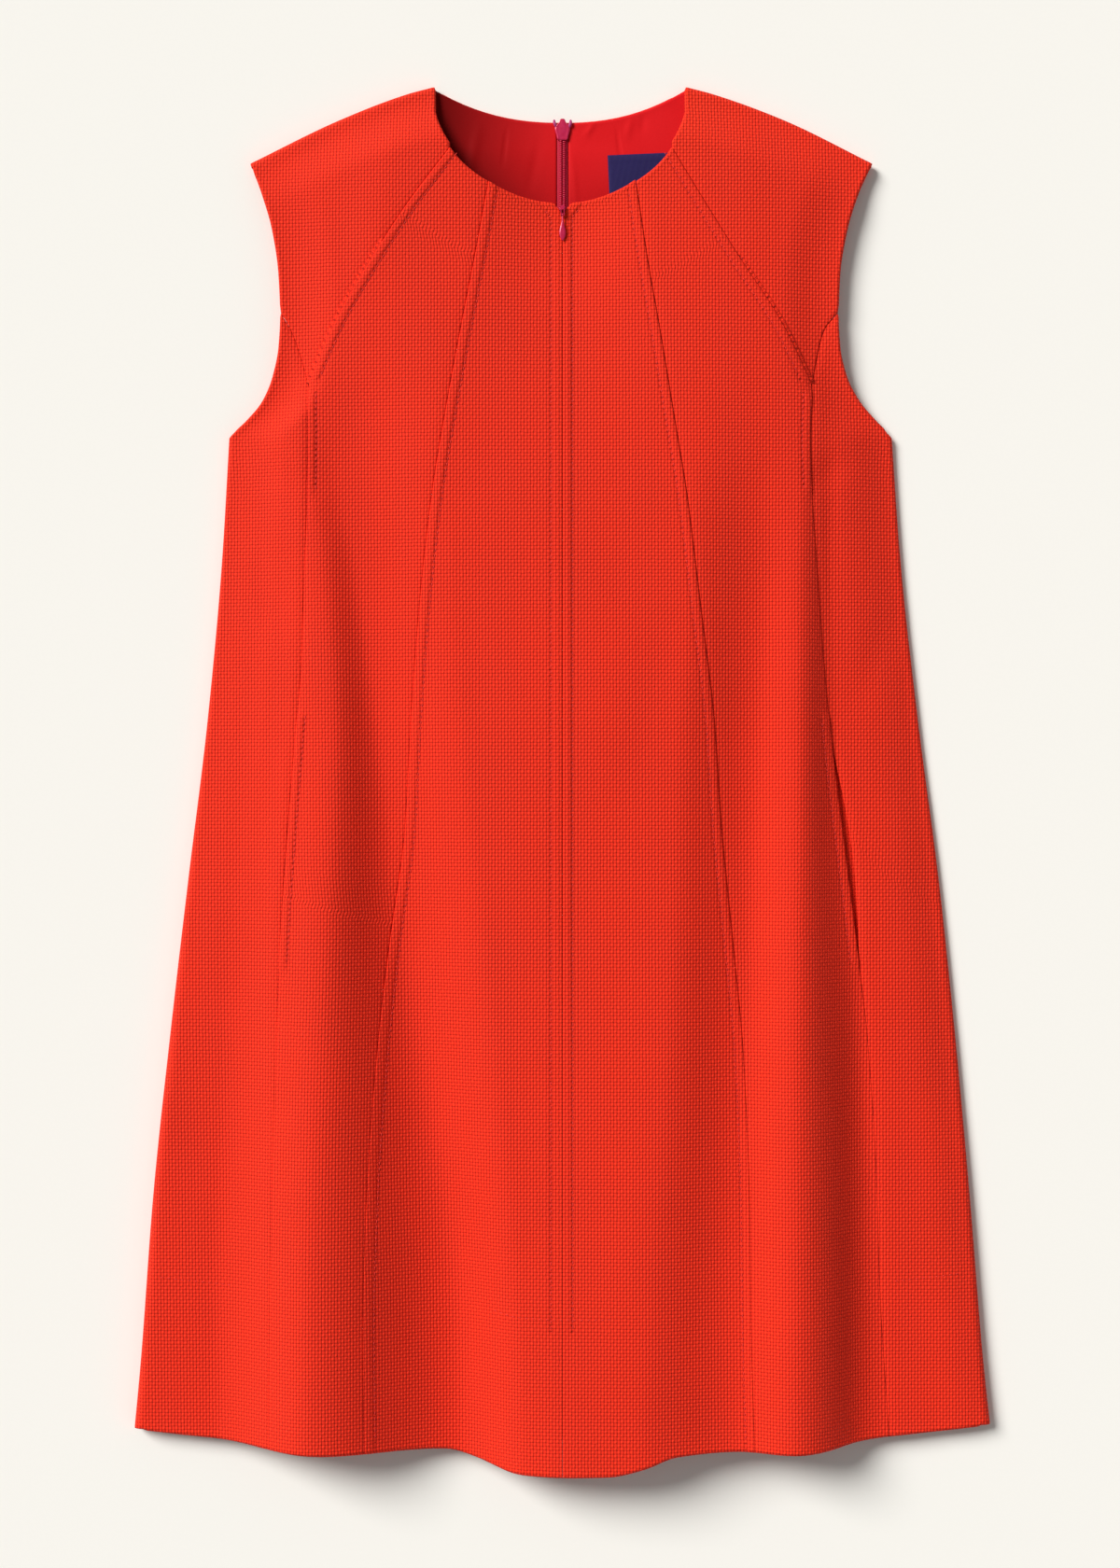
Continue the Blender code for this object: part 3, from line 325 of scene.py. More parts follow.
    def back_hem_drop(self, across: Any) -> Array:
        """Drop of the back hem, a parabola."""
        middle, side, half = self.back_hem
        return middle - (middle - side) * (np.atleast_1d(across) / half) ** 2

    def back_hem_line(self, first: Array, last: Array) -> Array:
        """Plan points of the back hem between two corners."""
        return between(first, last, self.back_hem_drop, 60)

    def back_seam_line(self, side: Side, outwards: float) -> Array:
        """Plan points of the back seam, down to the back hem, moved away from the centre."""
        return self.seam(self.back_seam, side, outwards,
                         self.back_hem_drop(self.back_seam.half(side, self.side_end))[0])

    def back_armhole(self, side: Side, first: float, last: float) -> Array:
        """Plan points of the back's armhole edge, a little inside the front's."""
        line = self.armhole.line(side, first, last, -self.back_edge_in)
        line[:, 1] += self.back_edge_in / 2
        return line

    def fold_radius(self, drop: Any) -> Array:
        """Radius of the side fold, tight at the underarm and looser at the hem."""
        grown = ease((drop - self.armhole.rows[-1][0]) / self.radius_grows_over)
        return self.underarm_radius + (self.hem_radius - self.underarm_radius) * grown

    def outer_half(self, side: Side, drop: Any) -> Array:
        """Distance from the centre to the armhole edge or the side fold."""
        rows = self.armhole.rows
        armhole = self.armhole.half(side, np.clip(drop, rows[0][0], rows[-1][0]))
        return np.where(drop < rows[-1][0], armhole, self.side.half(side, drop))

    def shoulder_drop(self, half: Any) -> Array:
        """Drop of the shoulder fold at a distance from the centre, on the mean of the two sides."""
        table = np.array(self.shoulder.rows)
        return smooth(half, (table[:, 1] + table[:, 2]) / 2, table[:, 0])

    def shoulder_line(self, side: Side, inwards: float) -> Array:
        """Plan points along the shoulder fold, moved down into the garment."""
        table = np.array(self.shoulder.rows)
        column = 1 if side is Side.LEFT else 2
        half = np.linspace(table[0, column], table[-1, column], 80)
        line = sided(side, half, smooth(half, table[:, column], table[:, 0]))
        return moved_aside(line, -inwards * side.value)

    def seam(self, course: Course, side: Side, outwards: float, last: float | None = None) -> Array:
        """Plan points of a seam's whole run, moved away from the centre."""
        first = course.rows[0][0]
        if last is None:
            last = self.hem_drop(side.value * course.half(side, course.rows[-1][0]))[0]
        return moved_aside(course.line(side, first, last), outwards * side.value)


CUT = Cut()


@dataclass(frozen=True)
class Crease:
    """A soft trough in the cloth, or a ridge where its depth is negative."""

    start: tuple[float, float]
    end: tuple[float, float]
    width: float
    depth: float

    def lift(self, plan: Array) -> Array:
        """Height added: minus the depth, times a bell across and a half sine along."""
        distance, along = beside(plan, np.array([self.start, self.end]))
        share = along / math.dist(self.start, self.end)
        return -self.depth * bump(distance, self.width) * np.sin(np.pi * share)


@dataclass(frozen=True)
class Front:
    """The front's outer surface: lengthwise folds, easing down to each outer fold."""

    drops: tuple[float, ...] = (0.0, 40.0, 80.0, 150.0, 240.0, 300.0, 420.0, 540.0, 660.0, 770.0, 871.0)
    # Each fold line: its distance to the right of the centre, then its height, at each drop above.
    folds: tuple[tuple[tuple[float, ...], tuple[float, ...]], ...] = (
        ((-300.0,) * 11,
         (11.0, 12.0, 12.0, 12.0, 11.0, 10.5, 10.5, 11.0, 12.0, 13.0, 13.5)),
        ((-180.0, -180.0, -180.0, -184.0, -192.0, -192.0, -204.0, -212.0, -218.0, -222.0, -222.0),
         (12.0, 13.0, 13.5, 14.0, 13.5, 13.0, 13.0, 13.0, 12.5, 12.0, 12.0)),
        ((-140.0, -140.0, -140.0, -148.0, -161.0, -151.0, -143.0, -148.0, -152.0, -155.0, -157.0),
         (14.0, 15.0, 16.0, 17.5, 19.0, 21.0, 26.0, 31.0, 35.0, 38.5, 40.5)),
        ((-104.0, -106.0, -110.0, -126.0, -142.0, -130.0, -114.0, -101.0, -84.0, -70.0, -66.0),
         (16.0, 17.0, 18.5, 19.5, 17.5, 16.0, 15.0, 13.5, 12.5, 12.0, 12.0)),
        ((-60.0, -60.0, -60.0, -66.0, -72.0, -66.0, -58.0, -45.0, -34.0, -26.0, -22.0),
         (15.0, 16.5, 17.5, 22.0, 25.5, 26.5, 28.5, 30.0, 31.0, 32.0, 33.0)),
        ((0.0, 0.0, 0.0, 2.0, 8.0, 12.0, 12.0, 16.0, 18.0, 14.0, 10.0),
         (12.0, 12.0, 11.6, 18.5, 25.5, 28.0, 30.5, 32.0, 33.5, 35.0, 36.0)),
        ((60.0, 60.0, 60.0, 68.0, 80.0, 78.0, 70.0, 66.0, 60.0, 52.0, 43.0),
         (15.0, 16.5, 17.5, 21.5, 25.5, 27.5, 30.0, 32.5, 34.5, 36.0, 36.5)),
        ((104.0, 106.0, 110.0, 118.0, 130.0, 128.0, 119.0, 115.0, 110.0, 108.0, 108.0),
         (16.0, 17.0, 18.0, 19.0, 20.0, 19.5, 19.5, 21.5, 24.0, 26.0, 27.5)),
        ((140.0, 140.0, 140.0, 142.0, 147.0, 147.0, 147.0, 146.0, 145.0, 145.0, 145.0),
         (14.0, 15.0, 16.0, 17.0, 19.5, 21.0, 25.5, 31.0, 35.0, 37.5, 38.5)),
        ((180.0, 180.0, 180.0, 178.0, 173.0, 170.0, 174.0, 185.0, 195.0, 202.0, 206.0),
         (12.0, 12.5, 13.0, 13.0, 13.5, 13.0, 12.0, 12.0, 12.0, 12.0, 12.0)),
        ((300.0,) * 11,
         (11.0, 12.0, 12.0, 12.0, 11.0, 10.0, 9.0, 9.0, 9.0, 9.5, 10.0)),
    )
    armhole_height: float = 11.0
    armhole_thins: tuple[float, float] = (160.0, 60.0)  # drop where it begins to, and over how much
    fold_ease: float = 34.0
    creases: tuple[Crease, ...] = (
        Crease((-186.0, 236.0), (-150.0, 262.0), 9.0, 0.9),
        Crease((-196.0, 300.0), (-172.0, 352.0), 8.0, 0.7),
        Crease((184.0, 232.0), (150.0, 258.0), 9.0, 0.9),
        Crease((206.0, 330.0), (186.0, 396.0), 10.0, 0.8),
        Crease((-70.0, 300.0), (-44.0, 420.0), 14.0, 0.6),
        Crease((66.0, 330.0), (40.0, 470.0), 15.0, 0.6),
        Crease((-226.0, 540.0), (-234.0, 760.0), 14.0, 0.4),
        Crease((232.0, 470.0), (234.0, 700.0), 14.0, 0.4),
        Crease((-30.0, 600.0), (-12.0, 790.0), 18.0, 0.5),
        Crease((58.0, 640.0), (30.0, 820.0), 16.0, -0.5),
        Crease((186.0, 540.0), (184.0, 1010.0), 13.0, 2.4),
        Crease((203.0, 130.0), (282.0, 960.0), 17.0, 6.0),
        Crease((-210.0, 120.0), (-250.0, 640.0), 14.0, 2.6),
    )

    def height(self, across: Array, drop: Array) -> Array:
        """Height of the main folds: monotone cubics down each line, then across the lines."""
        shape = np.shape(across)
        across, drop = np.ravel(across).astype(float), np.ravel(drop).astype(float)
        places = np.stack([smooth(drop, self.drops, line[0]) for line in self.folds], axis=1)
        heights = np.stack([smooth(drop, self.drops, line[1]) for line in self.folds], axis=1)
        z = smooth(across, places, heights)
        for side in Side:
            radius = CUT.fold_radius(drop)
            thin = 2 * CUT.underarm_radius - self.armhole_height
            thinned = ease((drop - self.armhole_thins[0]) / self.armhole_thins[1])
            at_edge = np.where(drop < CUT.armhole.rows[-1][0], self.armhole_height + thin * thinned, 2 * radius)
            inside = CUT.outer_half(side, drop) - radius - np.abs(across)
            eased = at_edge + (z - at_edge) * ease(inside / self.fold_ease)
            z = np.where(across * side.value > 0, eased, z)
        below = drop - CUT.shoulder_drop(np.abs(across)) - CUT.shoulder_radius
        at_fold = 2 * CUT.shoulder_radius
        return (at_fold + (z - at_fold) * ease(below / self.fold_ease)).reshape(shape)

    def unevenness(self, plan: Array) -> Array:
        """Hand-laid cloth is never quite even: the creases and three slow waves."""
        x, s = plan[..., 0], plan[..., 1]
        waves = (0.16 * np.sin(x / 23.0 + 0.9 * np.sin(s / 61.0)) + 0.14 * np.sin(s / 31.0 + x / 67.0)
                 + 0.1 * np.sin(x / 11.0 - s / 47.0 + 1.3))
        return waves + sum(crease.lift(plan) for crease in self.creases)

    def on(self, plan: Array, lift: Any = 0.0) -> Array:
        """Points of plan points on the front, moved out along its normals by a lift."""
        x, s = plan[..., 0], plan[..., 1]
        reach = 0.5
        dx = (self.height(x + reach, s) - self.height(x - reach, s)) / (2 * reach)
        ds = (self.height(x, s + reach) - self.height(x, s - reach)) / (2 * reach)
        normal = np.stack([-dx, -ds, np.ones_like(dx)], axis=-1)
        normal /= np.linalg.norm(normal, axis=-1, keepdims=True)
        points = np.stack([x, s, self.height(x, s)], axis=-1)
        return points + np.asarray(lift)[..., None] * normal


FRONT = Front()


# ---------------------------------------------------------------- seams and sheets


@dataclass(frozen=True)
class Edge:
    """How a panel ends along a line: its edge rolls down, and its stitched side stands proud."""

    line: Array
    stitches_in: float = 0.0  # distance of the stitching from the edge, none where 0
    held: tuple[tuple[float, float], ...] = ((0.0, 2000.0),)  # stretches of drop that are stitched
    raised: float = 0.42
    dip: float = 0.22
    roll: float = 0.42
    turn: float = 0.9
    groove: float = 0.4
    softer_from: float = 500.0  # drop below which the seam lies flatter, reached over softer_over
    softer_over: float = 160.0
    softer_by: float = 0.7
    hold_over: float = 8.0  # over which a stretch of stitching takes hold and lets go
    band_fall: float = 3.2  # over which the band beside the stitches falls away
    puff: float = 0.18
    groove_width: float = 0.85
    dip_width: float = 2.8

    def hold(self, drop: Array) -> Array:
        """1 where the edge is stitched down, easing to 0 at each end."""
        if not self.stitches_in:
            return np.zeros_like(drop)
        return sum(ease((drop - first) / self.hold_over) * ease((last - drop) / self.hold_over)
                   for first, last in self.held)

    def lift(self, plan: Array) -> tuple[Array, Array]:
        """Relief beside this edge.

        A band as wide as the stitching stands proud and falls away beyond it, with a groove along
        the stitches. An unstitched side dips. The last of the cloth rolls down as a square.

        Args:
            plan: Plan points of the panel.

        Returns:
            The height added, and the stitch coordinates: distance from the stitches, and along them.
        """
        distance, along = beside(plan, self.line)
        hold = self.hold(plan[..., 1])
        band = self.raised * (1 - ease((distance - self.stitches_in + 0.6) / self.band_fall))
        puffed = self.puff * bump(distance - 0.55 * self.stitches_in, 0.4 * self.stitches_in + 0.1)
        groove = self.groove * bump(distance - self.stitches_in, self.groove_width)
        dip = self.dip * bump(distance, self.dip_width)
        roll = self.roll * np.clip(1 - distance / self.turn, 0.0, 1.0) ** 2
        flat = 1 - self.softer_by * ease((plan[..., 1] - self.softer_from) / self.softer_over)
        lift = (hold * (band + puffed - groove) - (1 - hold) * dip - roll) * flat
        off = np.where(hold > 0.5, np.abs(distance - self.stitches_in), FAR)
        return lift, np.stack([off, along], axis=-1)


@dataclass(frozen=True)
class Turned(Edge):
    """A faced or hemmed edge, rolled round and a little thick, without stitches that show."""

    dip: float = -0.25
    roll: float = 1.7
    turn: float = 2.2
    softer_by: float = 0.0


NECK_TURN = {"roll": 1.4, "turn": 1.7}
ARM_TURN = {"roll": 1.5, "turn": 1.8}


def relief(plan: Array, edges: Sequence[Edge]) -> tuple[Array, Array]:
    """Relief of a panel from all of its edges, with the stitch coordinates of the nearest stitching."""
    lift = np.zeros(plan.shape[:-1])
    stitch = np.stack([np.full(lift.shape, FAR), np.zeros(lift.shape)], axis=-1)
    for edge in edges:
        added, near = edge.lift(plan)
        lift += added
        stitch = np.where(near[..., :1] < stitch[..., :1], near, stitch)
    return lift, stitch


def unstitched(rows: int, columns: int) -> Array:
    """Stitch coordinates of cloth that is far from any stitches."""
    return np.full((rows, columns, 2), FAR)


def grain_map(points: Array, grain: float, searched: int | None = None) -> Array:
    """Straight-grain coordinates of a laid panel.

    Across: the true length along each row in the plane of width and height, counted from where the
    row meets the grain line. Down: the drop, because no panel slopes much along it.

    Args:
        points: The panel's points.
        grain: Distance to the right of the centre of the grain line.
        searched: How many of the first columns are searched for the grain line.

    Returns:
        Rows x columns x 2, in millimetres.
    """
    x, z = points[..., 0], points[..., 2]
    across = np.zeros(x.shape)
    across[:, 1:] = np.cumsum(np.hypot(np.diff(x, axis=1), np.diff(z, axis=1)), axis=1)
    near = np.abs(x[:, :searched] - grain).argmin(axis=1)[:, None]
    direction = np.sign(x[len(x) // 2, 1] - x[len(x) // 2, 0])
    short = np.take_along_axis(x, near, 1) - grain
    steep = np.gradient(across, axis=1) / np.maximum(np.abs(np.gradient(x, axis=1)), 0.01)
    steep = np.take_along_axis(steep, near, 1)
    steep = np.where(np.abs(short) < NEAR_GRAIN, np.clip(steep, 1.0, STEEPEST), 1.0)
    u = direction * (across - np.take_along_axis(across, near, 1)) + short * steep
    return np.stack([u, points[..., 1]], axis=-1)


def grid_quads(rows: int, columns: int, flipped: bool = False) -> Array:
    """Corner indices of a grid's quads, facing up where columns run to the right."""
    index = np.arange(rows * columns).reshape(rows, columns)
    quads = np.stack([index[:-1, :-1], index[1:, :-1], index[1:, 1:], index[:-1, 1:]], axis=-1)
    return quads.reshape(-1, 4)[:, ::-1] if flipped else quads.reshape(-1, 4)


def mesh_object(name: str, vertices: Array, faces: Array, look: bpy.types.Material) -> bpy.types.Object:
    """An object at the origin from vertices in metres and faces of one size.

    Args:
        name: Name of the piece.
        vertices: Places in the frame, in metres.
        faces: Corner indices, one row for each face.
        look: The piece's material.

    Returns:
        The object, linked to the scene and shaded smooth.
    """
    mesh = bpy.data.meshes.new(name)
    sides = faces.shape[1]
    mesh.vertices.add(len(vertices))
    mesh.vertices.foreach_set("co", np.asarray(vertices, np.float32).ravel())
    mesh.loops.add(faces.size)
    mesh.loops.foreach_set("vertex_index", faces.astype(np.int32).ravel())
    mesh.polygons.add(len(faces))
    mesh.polygons.foreach_set("loop_start", np.arange(0, faces.size, sides, dtype=np.int32))
    mesh.update(calc_edges=True)
    mesh.validate()
    mesh.materials.append(look)
    mesh.shade_smooth()
    made = bpy.data.objects.new(name, mesh)
    bpy.context.scene.collection.objects.link(made)
    return made


@dataclass
class Sheet:
    """One cut piece of cloth: a grid of points with its weave and stitch coordinates."""

    name: str
    points: Array
    weave: Array
    stitch: Array | None = None
    wall: float = CLOTH
    faces_up: bool = True
    flat: tuple[float, float] | None = None  # width and length of the cut, where its map's box isn't that

    def build(self, look: bpy.types.Material, slot: str, nodes: Sequence[str],
              rests_on: Sequence[str] = (), declared: bool = True) -> None:
        """Makes the mesh, gives it a wall on its inner side, and parents it to the dress's body.

        Args:
            look: The cloth.
            slot: Not used.
            nodes: CAD nodes that this sheet stands for.
            rests_on: Not used.
            declared: Whether its cut size and area are worked out.
        """
        rows, columns = self.points.shape[:2]
        places = metres(self.points)
        row, column = rows // 2, columns // 4  # here even a rolled panel faces as its front does
        to_right = places[row, column + 1] - places[row, column]
        downwards = places[row + 1, column] - places[row, column]
        upwards = np.cross(downwards, to_right)[2] > 0
        quads = grid_quads(rows, columns, flipped=upwards != self.faces_up)
        made = mesh_object(f"{self.name}_cloth", places.reshape(-1, 3), quads, look)
        self.write_map(made.data, "weave", self.weave)
        if self.stitch is not None:
            self.write_map(made.data, "stitch", self.stitch)
        wall = made.modifiers.new("wall", "SOLIDIFY")
        wall.thickness = self.wall * MM
        wall.offset = -1.0
        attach(made, "dress")
        if nodes:
            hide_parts(*nodes)
        if declared:
            flat = self.flat or np.ptp(self.weave.reshape(-1, 2), axis=0)
            width, length = (float(size) * MM for size in flat)
            min(self.area(), width * length)
        LOG.info("%s: %d x %d points", self.name, rows, columns)

    def area(self) -> float:
        """Area of one face of the cloth in square metres: half the cross products of the diagonals."""
        p = self.points
        diagonals = np.cross(p[1:, 1:] - p[:-1, :-1], p[:-1, 1:] - p[1:, :-1])
        return float(np.linalg.norm(diagonals, axis=-1).sum() / 2) * MM * MM

    @staticmethod
    def write_map(mesh: bpy.types.Mesh, name: str, values: Array) -> None:
        """Writes a UV map from one pair of values for each vertex."""
        corners = np.empty(len(mesh.loops), np.int32)
        mesh.loops.foreach_get("vertex_index", corners)
        layer = mesh.uv_layers.new(name=name)
        layer.data.foreach_set("uv", values.reshape(-1, 2)[corners].astype(np.float32).ravel())


# ---------------------------------------------------------------- shader maths


@dataclass(frozen=True)
class Value:
    """A number that varies over a surface; arithmetic on it adds Math nodes."""

    tree: "Shader"
    socket: Any

    def math(self, operation: str, *others: Any, flipped: bool = False) -> "Value":
        """This value and others through one Math node."""
        terms = [self.socket] + [getattr(other, "socket", other) for other in others]
        if flipped:
            terms.reverse()
        node = self.tree.node("ShaderNodeMath", {"operation": operation}, dict(enumerate(terms)))
        return Value(self.tree, node.outputs[0])

    def __add__(self, other: Any) -> "Value":
        """Sum."""
        return self.math("ADD", other)

    __radd__ = __add__

    def __sub__(self, other: Any) -> "Value":
        """Difference."""
        return self.math("SUBTRACT", other)

    def __rsub__(self, other: Any) -> "Value":
        """Difference from a number."""
        return self.math("SUBTRACT", other, flipped=True)

    def __mul__(self, other: Any) -> "Value":
        """Product."""
        return self.math("MULTIPLY", other)

    __rmul__ = __mul__

    def __pow__(self, other: Any) -> "Value":
        """Power."""
        return self.math("POWER", other)

    def __neg__(self) -> "Value":
        """Minus this value."""
        return self.math("MULTIPLY", -1.0)

    def __abs__(self) -> "Value":
        """Size of this value."""
        return self.math("ABSOLUTE")

    def sine(self) -> "Value":
        """Sine of this value in radians."""
        return self.math("SINE")

    def bell(self, width: float) -> "Value":
        """1 at nought and falling away, as one over one plus the fourth power of the share of width."""
        return 1.0 / (1.0 + (self * (1.0 / width)) ** 4.0)

    def __rtruediv__(self, other: Any) -> "Value":
        """A number over this value."""
        return self.math("DIVIDE", other, flipped=True)

    def clamped(self) -> "Value":
        """Held between 0 and 1."""
        return self.math("MAXIMUM", 0.0).math("MINIMUM", 1.0)


class Shader:
    """A material's node tree, with its Principled shader."""

    def __init__(self, name: str) -> None:
        """Starts a material that has only a Principled shader."""
        self.material = bpy.data.materials.new(name)
        self.material.use_nodes = True
        self.nodes = self.material.node_tree.nodes
        self.links = self.material.node_tree.links
        self.principled = self.nodes["Principled BSDF"]

    def node(self, kind: str, settings: dict[str, Any], inputs: dict[Any, Any]) -> bpy.types.Node:
        """Adds a node: settings first, then values or links of its sockets.

        Args:
            kind: The node's type.
            settings: Attributes of the node.
            inputs: Socket name or index to a number, tuple, socket or Value.

        Returns:
            The node.
        """
        made = self.nodes.new(kind)
        for key, setting in settings.items():
            setattr(made, key, setting)
        for key, given in inputs.items():
            given = getattr(given, "socket", given)
            if isinstance(given, bpy.types.NodeSocket):
                self.links.new(given, made.inputs[key])
            else:
                made.inputs[key].default_value = given
        return made

    def constants(self, **values: Any) -> None:
        """Sets the Principled shader's own sockets, named with underscores for spaces."""
        for key, value in values.items():
            self.principled.inputs[key.replace("_", " ")].default_value = value

    def place(self) -> Any:
        """Object coordinates, in metres."""
        return self.node("ShaderNodeTexCoord", {}, {}).outputs["Object"]

    def pair(self, name: str) -> tuple[Value, Value]:
        """The two numbers of a UV map, in millimetres."""
        uv = self.node("ShaderNodeUVMap", {"uv_map": name}, {}).outputs["UV"]
        parts = self.node("ShaderNodeSeparateXYZ", {}, {0: uv}).outputs
        return Value(self, parts[0]), Value(self, parts[1])

    def noise(self, scale: float, detail: float = 2.0, vector: Any = None) -> Value:
        """A noise from 0 to 1, with a scale in cycles a metre."""
        inputs = {"Vector": vector or self.place(), "Scale": scale, "Detail": detail}
        return Value(self, self.node("ShaderNodeTexNoise", {}, inputs).outputs[0])

    def blend(self, factor: Any, first: Any, second: Any) -> Any:
        """A colour between two colours."""
        pick = {0: factor, 6: opaque(first), 7: opaque(second)}
        return self.node("ShaderNodeMix", {"data_type": "RGBA"}, pick).outputs[2]

    def relief(self, height: Value, depth: float) -> None:
        """Feeds a height from 0 to 1, over a depth in millimetres, to the shader's normal."""
        inputs = {"Height": height, "Distance": depth * MM, "Strength": 1.0}
        bumped = self.node("ShaderNodeBump", {}, inputs).outputs[0]
        self.links.new(bumped, self.principled.inputs["Normal"])

    def feed(self, socket: str, source: Any) -> None:
        """Links a varying colour or number to a socket of the shader."""
        self.links.new(getattr(source, "socket", source), self.principled.inputs[socket])


def opaque(colour: Any) -> Any:
    """A colour with its alpha, where it is plain numbers."""
    return (*colour, 1.0) if isinstance(colour, tuple) and len(colour) == 3 else colour


# ---------------------------------------------------------------- finishes


@dataclass(frozen=True)
class BasketWeave:
    """Thick two-ply basket weave, matt and slightly hairy, with warp and weft floats in turn."""

    name: str = "red_basket_weave"
    colour: Colour = (0.93, 0.0180, 0.0040)
    # gap is a painted shade colour, for the gaps between yarns and the stitch holes; pale is a painted
    # highlight colour for the yarn tops.
    gap: Colour = (0.34, 0.003, 0.0006)
    pale: Colour = (1.0, 0.058, 0.013)
    cell: tuple[float, float] = (2.0, 2.15)  # across and along
    wander: float = 0.30
    depth: float = 0.75
    stitch_pitch: float = 3.6
    hole_width: float = 0.65
    hole_shade: float = 0.42
    groove_width: float = 1.6

    def make(self) -> bpy.types.Material:
        """Builds the material.

        The weave's height is a sum of the size of one sine across, which leaves low slits between
        the columns, of one along, and of their product, which raises every other cell. The colour is painted
        darker where the height is low, as painted shade in the gaps, and paler where it is high, as a painted
        highlight on the yarn tops.
        """
        shader = Shader(self.name)
        u, v = shader.pair("weave")
        mid = shader.noise(240.0, 1.0)
        slow = shader.noise(16.0, 2.0)
        fuzz = shader.noise(2400.0, 2.0)
        across, along = ((place * (math.pi / size) + (mid - 0.5) * (math.pi * self.wander)).sine()
                         for place, size in zip((u, v), self.cell))
        floats = across * along
        columns, rows = abs(across) ** 0.6, abs(along) ** 0.6
        height = (columns * 0.45 + rows * 0.36 + floats * 0.14 + 0.06 + (fuzz - 0.5) * 0.16).clamped()
        off, stitched = shader.pair("stitch")
        beat = (stitched * (math.pi / self.stitch_pitch)).sine() ** 2.0
        hole = off.bell(self.hole_width) * beat ** 3.0
        groove = off.bell(self.groove_width)
        # Painted shade: the low parts of the weave take the dark gap colour; the slow noise adds random tone.
        shade = (height * 1.75 + (slow - 0.5) * 0.25 - 0.42).clamped()
        woven = shader.blend(shade, self.gap, self.colour)
        # Painted highlight: the highest yarn tops are blended towards the pale colour.
        lit = shader.blend((height * height * 0.5 * (0.5 + fuzz)).clamped(), woven, self.pale)
        # Painted shade in the stitch holes and along the stitch groove, blended towards the dark gap colour.
        sunken = (hole * self.hole_shade + groove * 0.1).clamped()
        shader.feed("Base Color", shader.blend(sunken, lit, self.gap))
        shader.feed("Roughness", 0.82 + (fuzz - 0.5) * 0.2)
        shader.constants(Specular_IOR_Level=0.3, Specular_Tint=(1.0, 0.85, 0.8, 1.0))
        shader.relief(height - hole * 0.6 - groove * 0.2, self.depth)
        return shader.material


@dataclass(frozen=True)
class LiningCloth:
    """Thin smooth lining, with fine threads and a faint lustre."""

    name: str = "red_lining"
    colour: Colour = (0.80, 0.016, 0.020)
    deep: Colour = (0.60, 0.005, 0.007)
    hollow: Colour = (0.12, 0.0001, 0.0001)  # painted shadow colour, for the shade that the front's neck edge casts down inside the dress, to the left
    thread: float = 0.32  # pitch of its threads
    painted_shadow_over: tuple[float, float] = (75.0, 110.0)  # distances to the left, and down, that the painted shadow darkens over
    painted_shadow_below: float = 38.0

    def make(self) -> bpy.types.Material:
        """Builds the material: two crossed sines for the threads, over a slow mottling, with a painted shadow
        that darkens it to the left and down, where the front's neck edge shades it.
        """
        shader = Shader(self.name)
        u, v = shader.pair("weave")
        slow, fine = shader.noise(30.0, 3.0), shader.noise(900.0, 1.0)
        warp, weft = ((place * (math.tau / self.thread)).sine() * 0.5 for place in (u, v))
        threads = warp + weft
        # The thread tops come out a little lighter, a faint painted shade between the threads, over a random
        # mottling.
        mottle = (slow * 0.7 + fine * 0.3 + threads * 0.06).clamped()
        # Painted shadow: the colour darkens towards the hollow colour to the left of the zip and below the neck
        # edge, standing in for the shade that the front's neck edge casts on the lining.
        left, down = self.painted_shadow_over
        inside = ((-u + 2.0) * (1 / left)).clamped() + ((v - self.painted_shadow_below) * (1 / down)).clamped()
        painted_shadow = (inside * 0.95 + (slow - 0.5) * 0.15).clamped()
        shown = shader.blend(mottle, self.deep, self.colour)
        shader.feed("Base Color", shader.blend(painted_shadow, shown, self.hollow))
        shader.feed("Roughness", 0.52 + (fine - 0.5) * 0.12)
        shader.constants(Specular_IOR_Level=0.1, Specular_Tint=(1.0, 0.5, 0.5, 1.0))
        shader.relief(threads * 0.2 + slow + 0.3, 0.06)
        return shader.material


@dataclass(frozen=True)
class RibbedTape:
    """Woven tape with close ribs along its length."""

    name: str
    colour: Colour
    # deep is the painted shade colour of the troughs between ribs.
    deep: Colour
    rib: float = 0.9
    roughness: float = 0.6
    pick: float = 0.45

    def make(self) -> bpy.types.Material:
        """Builds the material: ribs are the size of a sine across, crossed by fine threads, and the low parts
        take the deep colour as painted shade.
        """
        shader = Shader(self.name)
        u, v = shader.pair("weave")
        fine = shader.noise(1500.0, 1.0)
        ribs = abs((u * (math.pi / self.rib)).sine())
        picks = abs((v * (math.pi / self.pick)).sine())
        height = (ribs * 0.7 + picks * 0.25 + fine * 0.1).clamped()
        # Painted shade: the troughs between ribs and threads are blended towards the deep colour.
        shader.feed("Base Color", shader.blend(height, self.deep, self.colour))
        shader.feed("Roughness", self.roughness + (fine - 0.5) * 0.15)
        shader.constants(Specular_IOR_Level=0.3)
        shader.relief(height, 0.12)
        return shader.material


@dataclass(frozen=True)
class Moulded:
    """Dyed plastic or enamelled metal, worn a little paler where it is rubbed."""

    name: str
    colour: Colour
    worn: Colour
    roughness: float
    metallic: float = 0.0
    coat: float = 0.0
    grain: float = 700.0
    depth: float = 0.03

    def make(self) -> bpy.types.Material:
        """Builds the material: two noises mottle its colour and gloss and ripple its surface."""
        shader = Shader(self.name)
        fine, slow = shader.noise(self.grain, 3.0), shader.noise(120.0, 2.0)
        wear = ((slow - 0.48) * 3.0 + (fine - 0.5) * 0.8).clamped() * 0.5
        shader.feed("Base Color", shader.blend(wear, self.colour, self.worn))
        shader.feed("Roughness", self.roughness + (fine - 0.5) * 0.18)
        shader.constants(Metallic=self.metallic, Coat_Weight=self.coat, Coat_Roughness=0.18)
        shader.relief(fine, self.depth)
        return shader.material


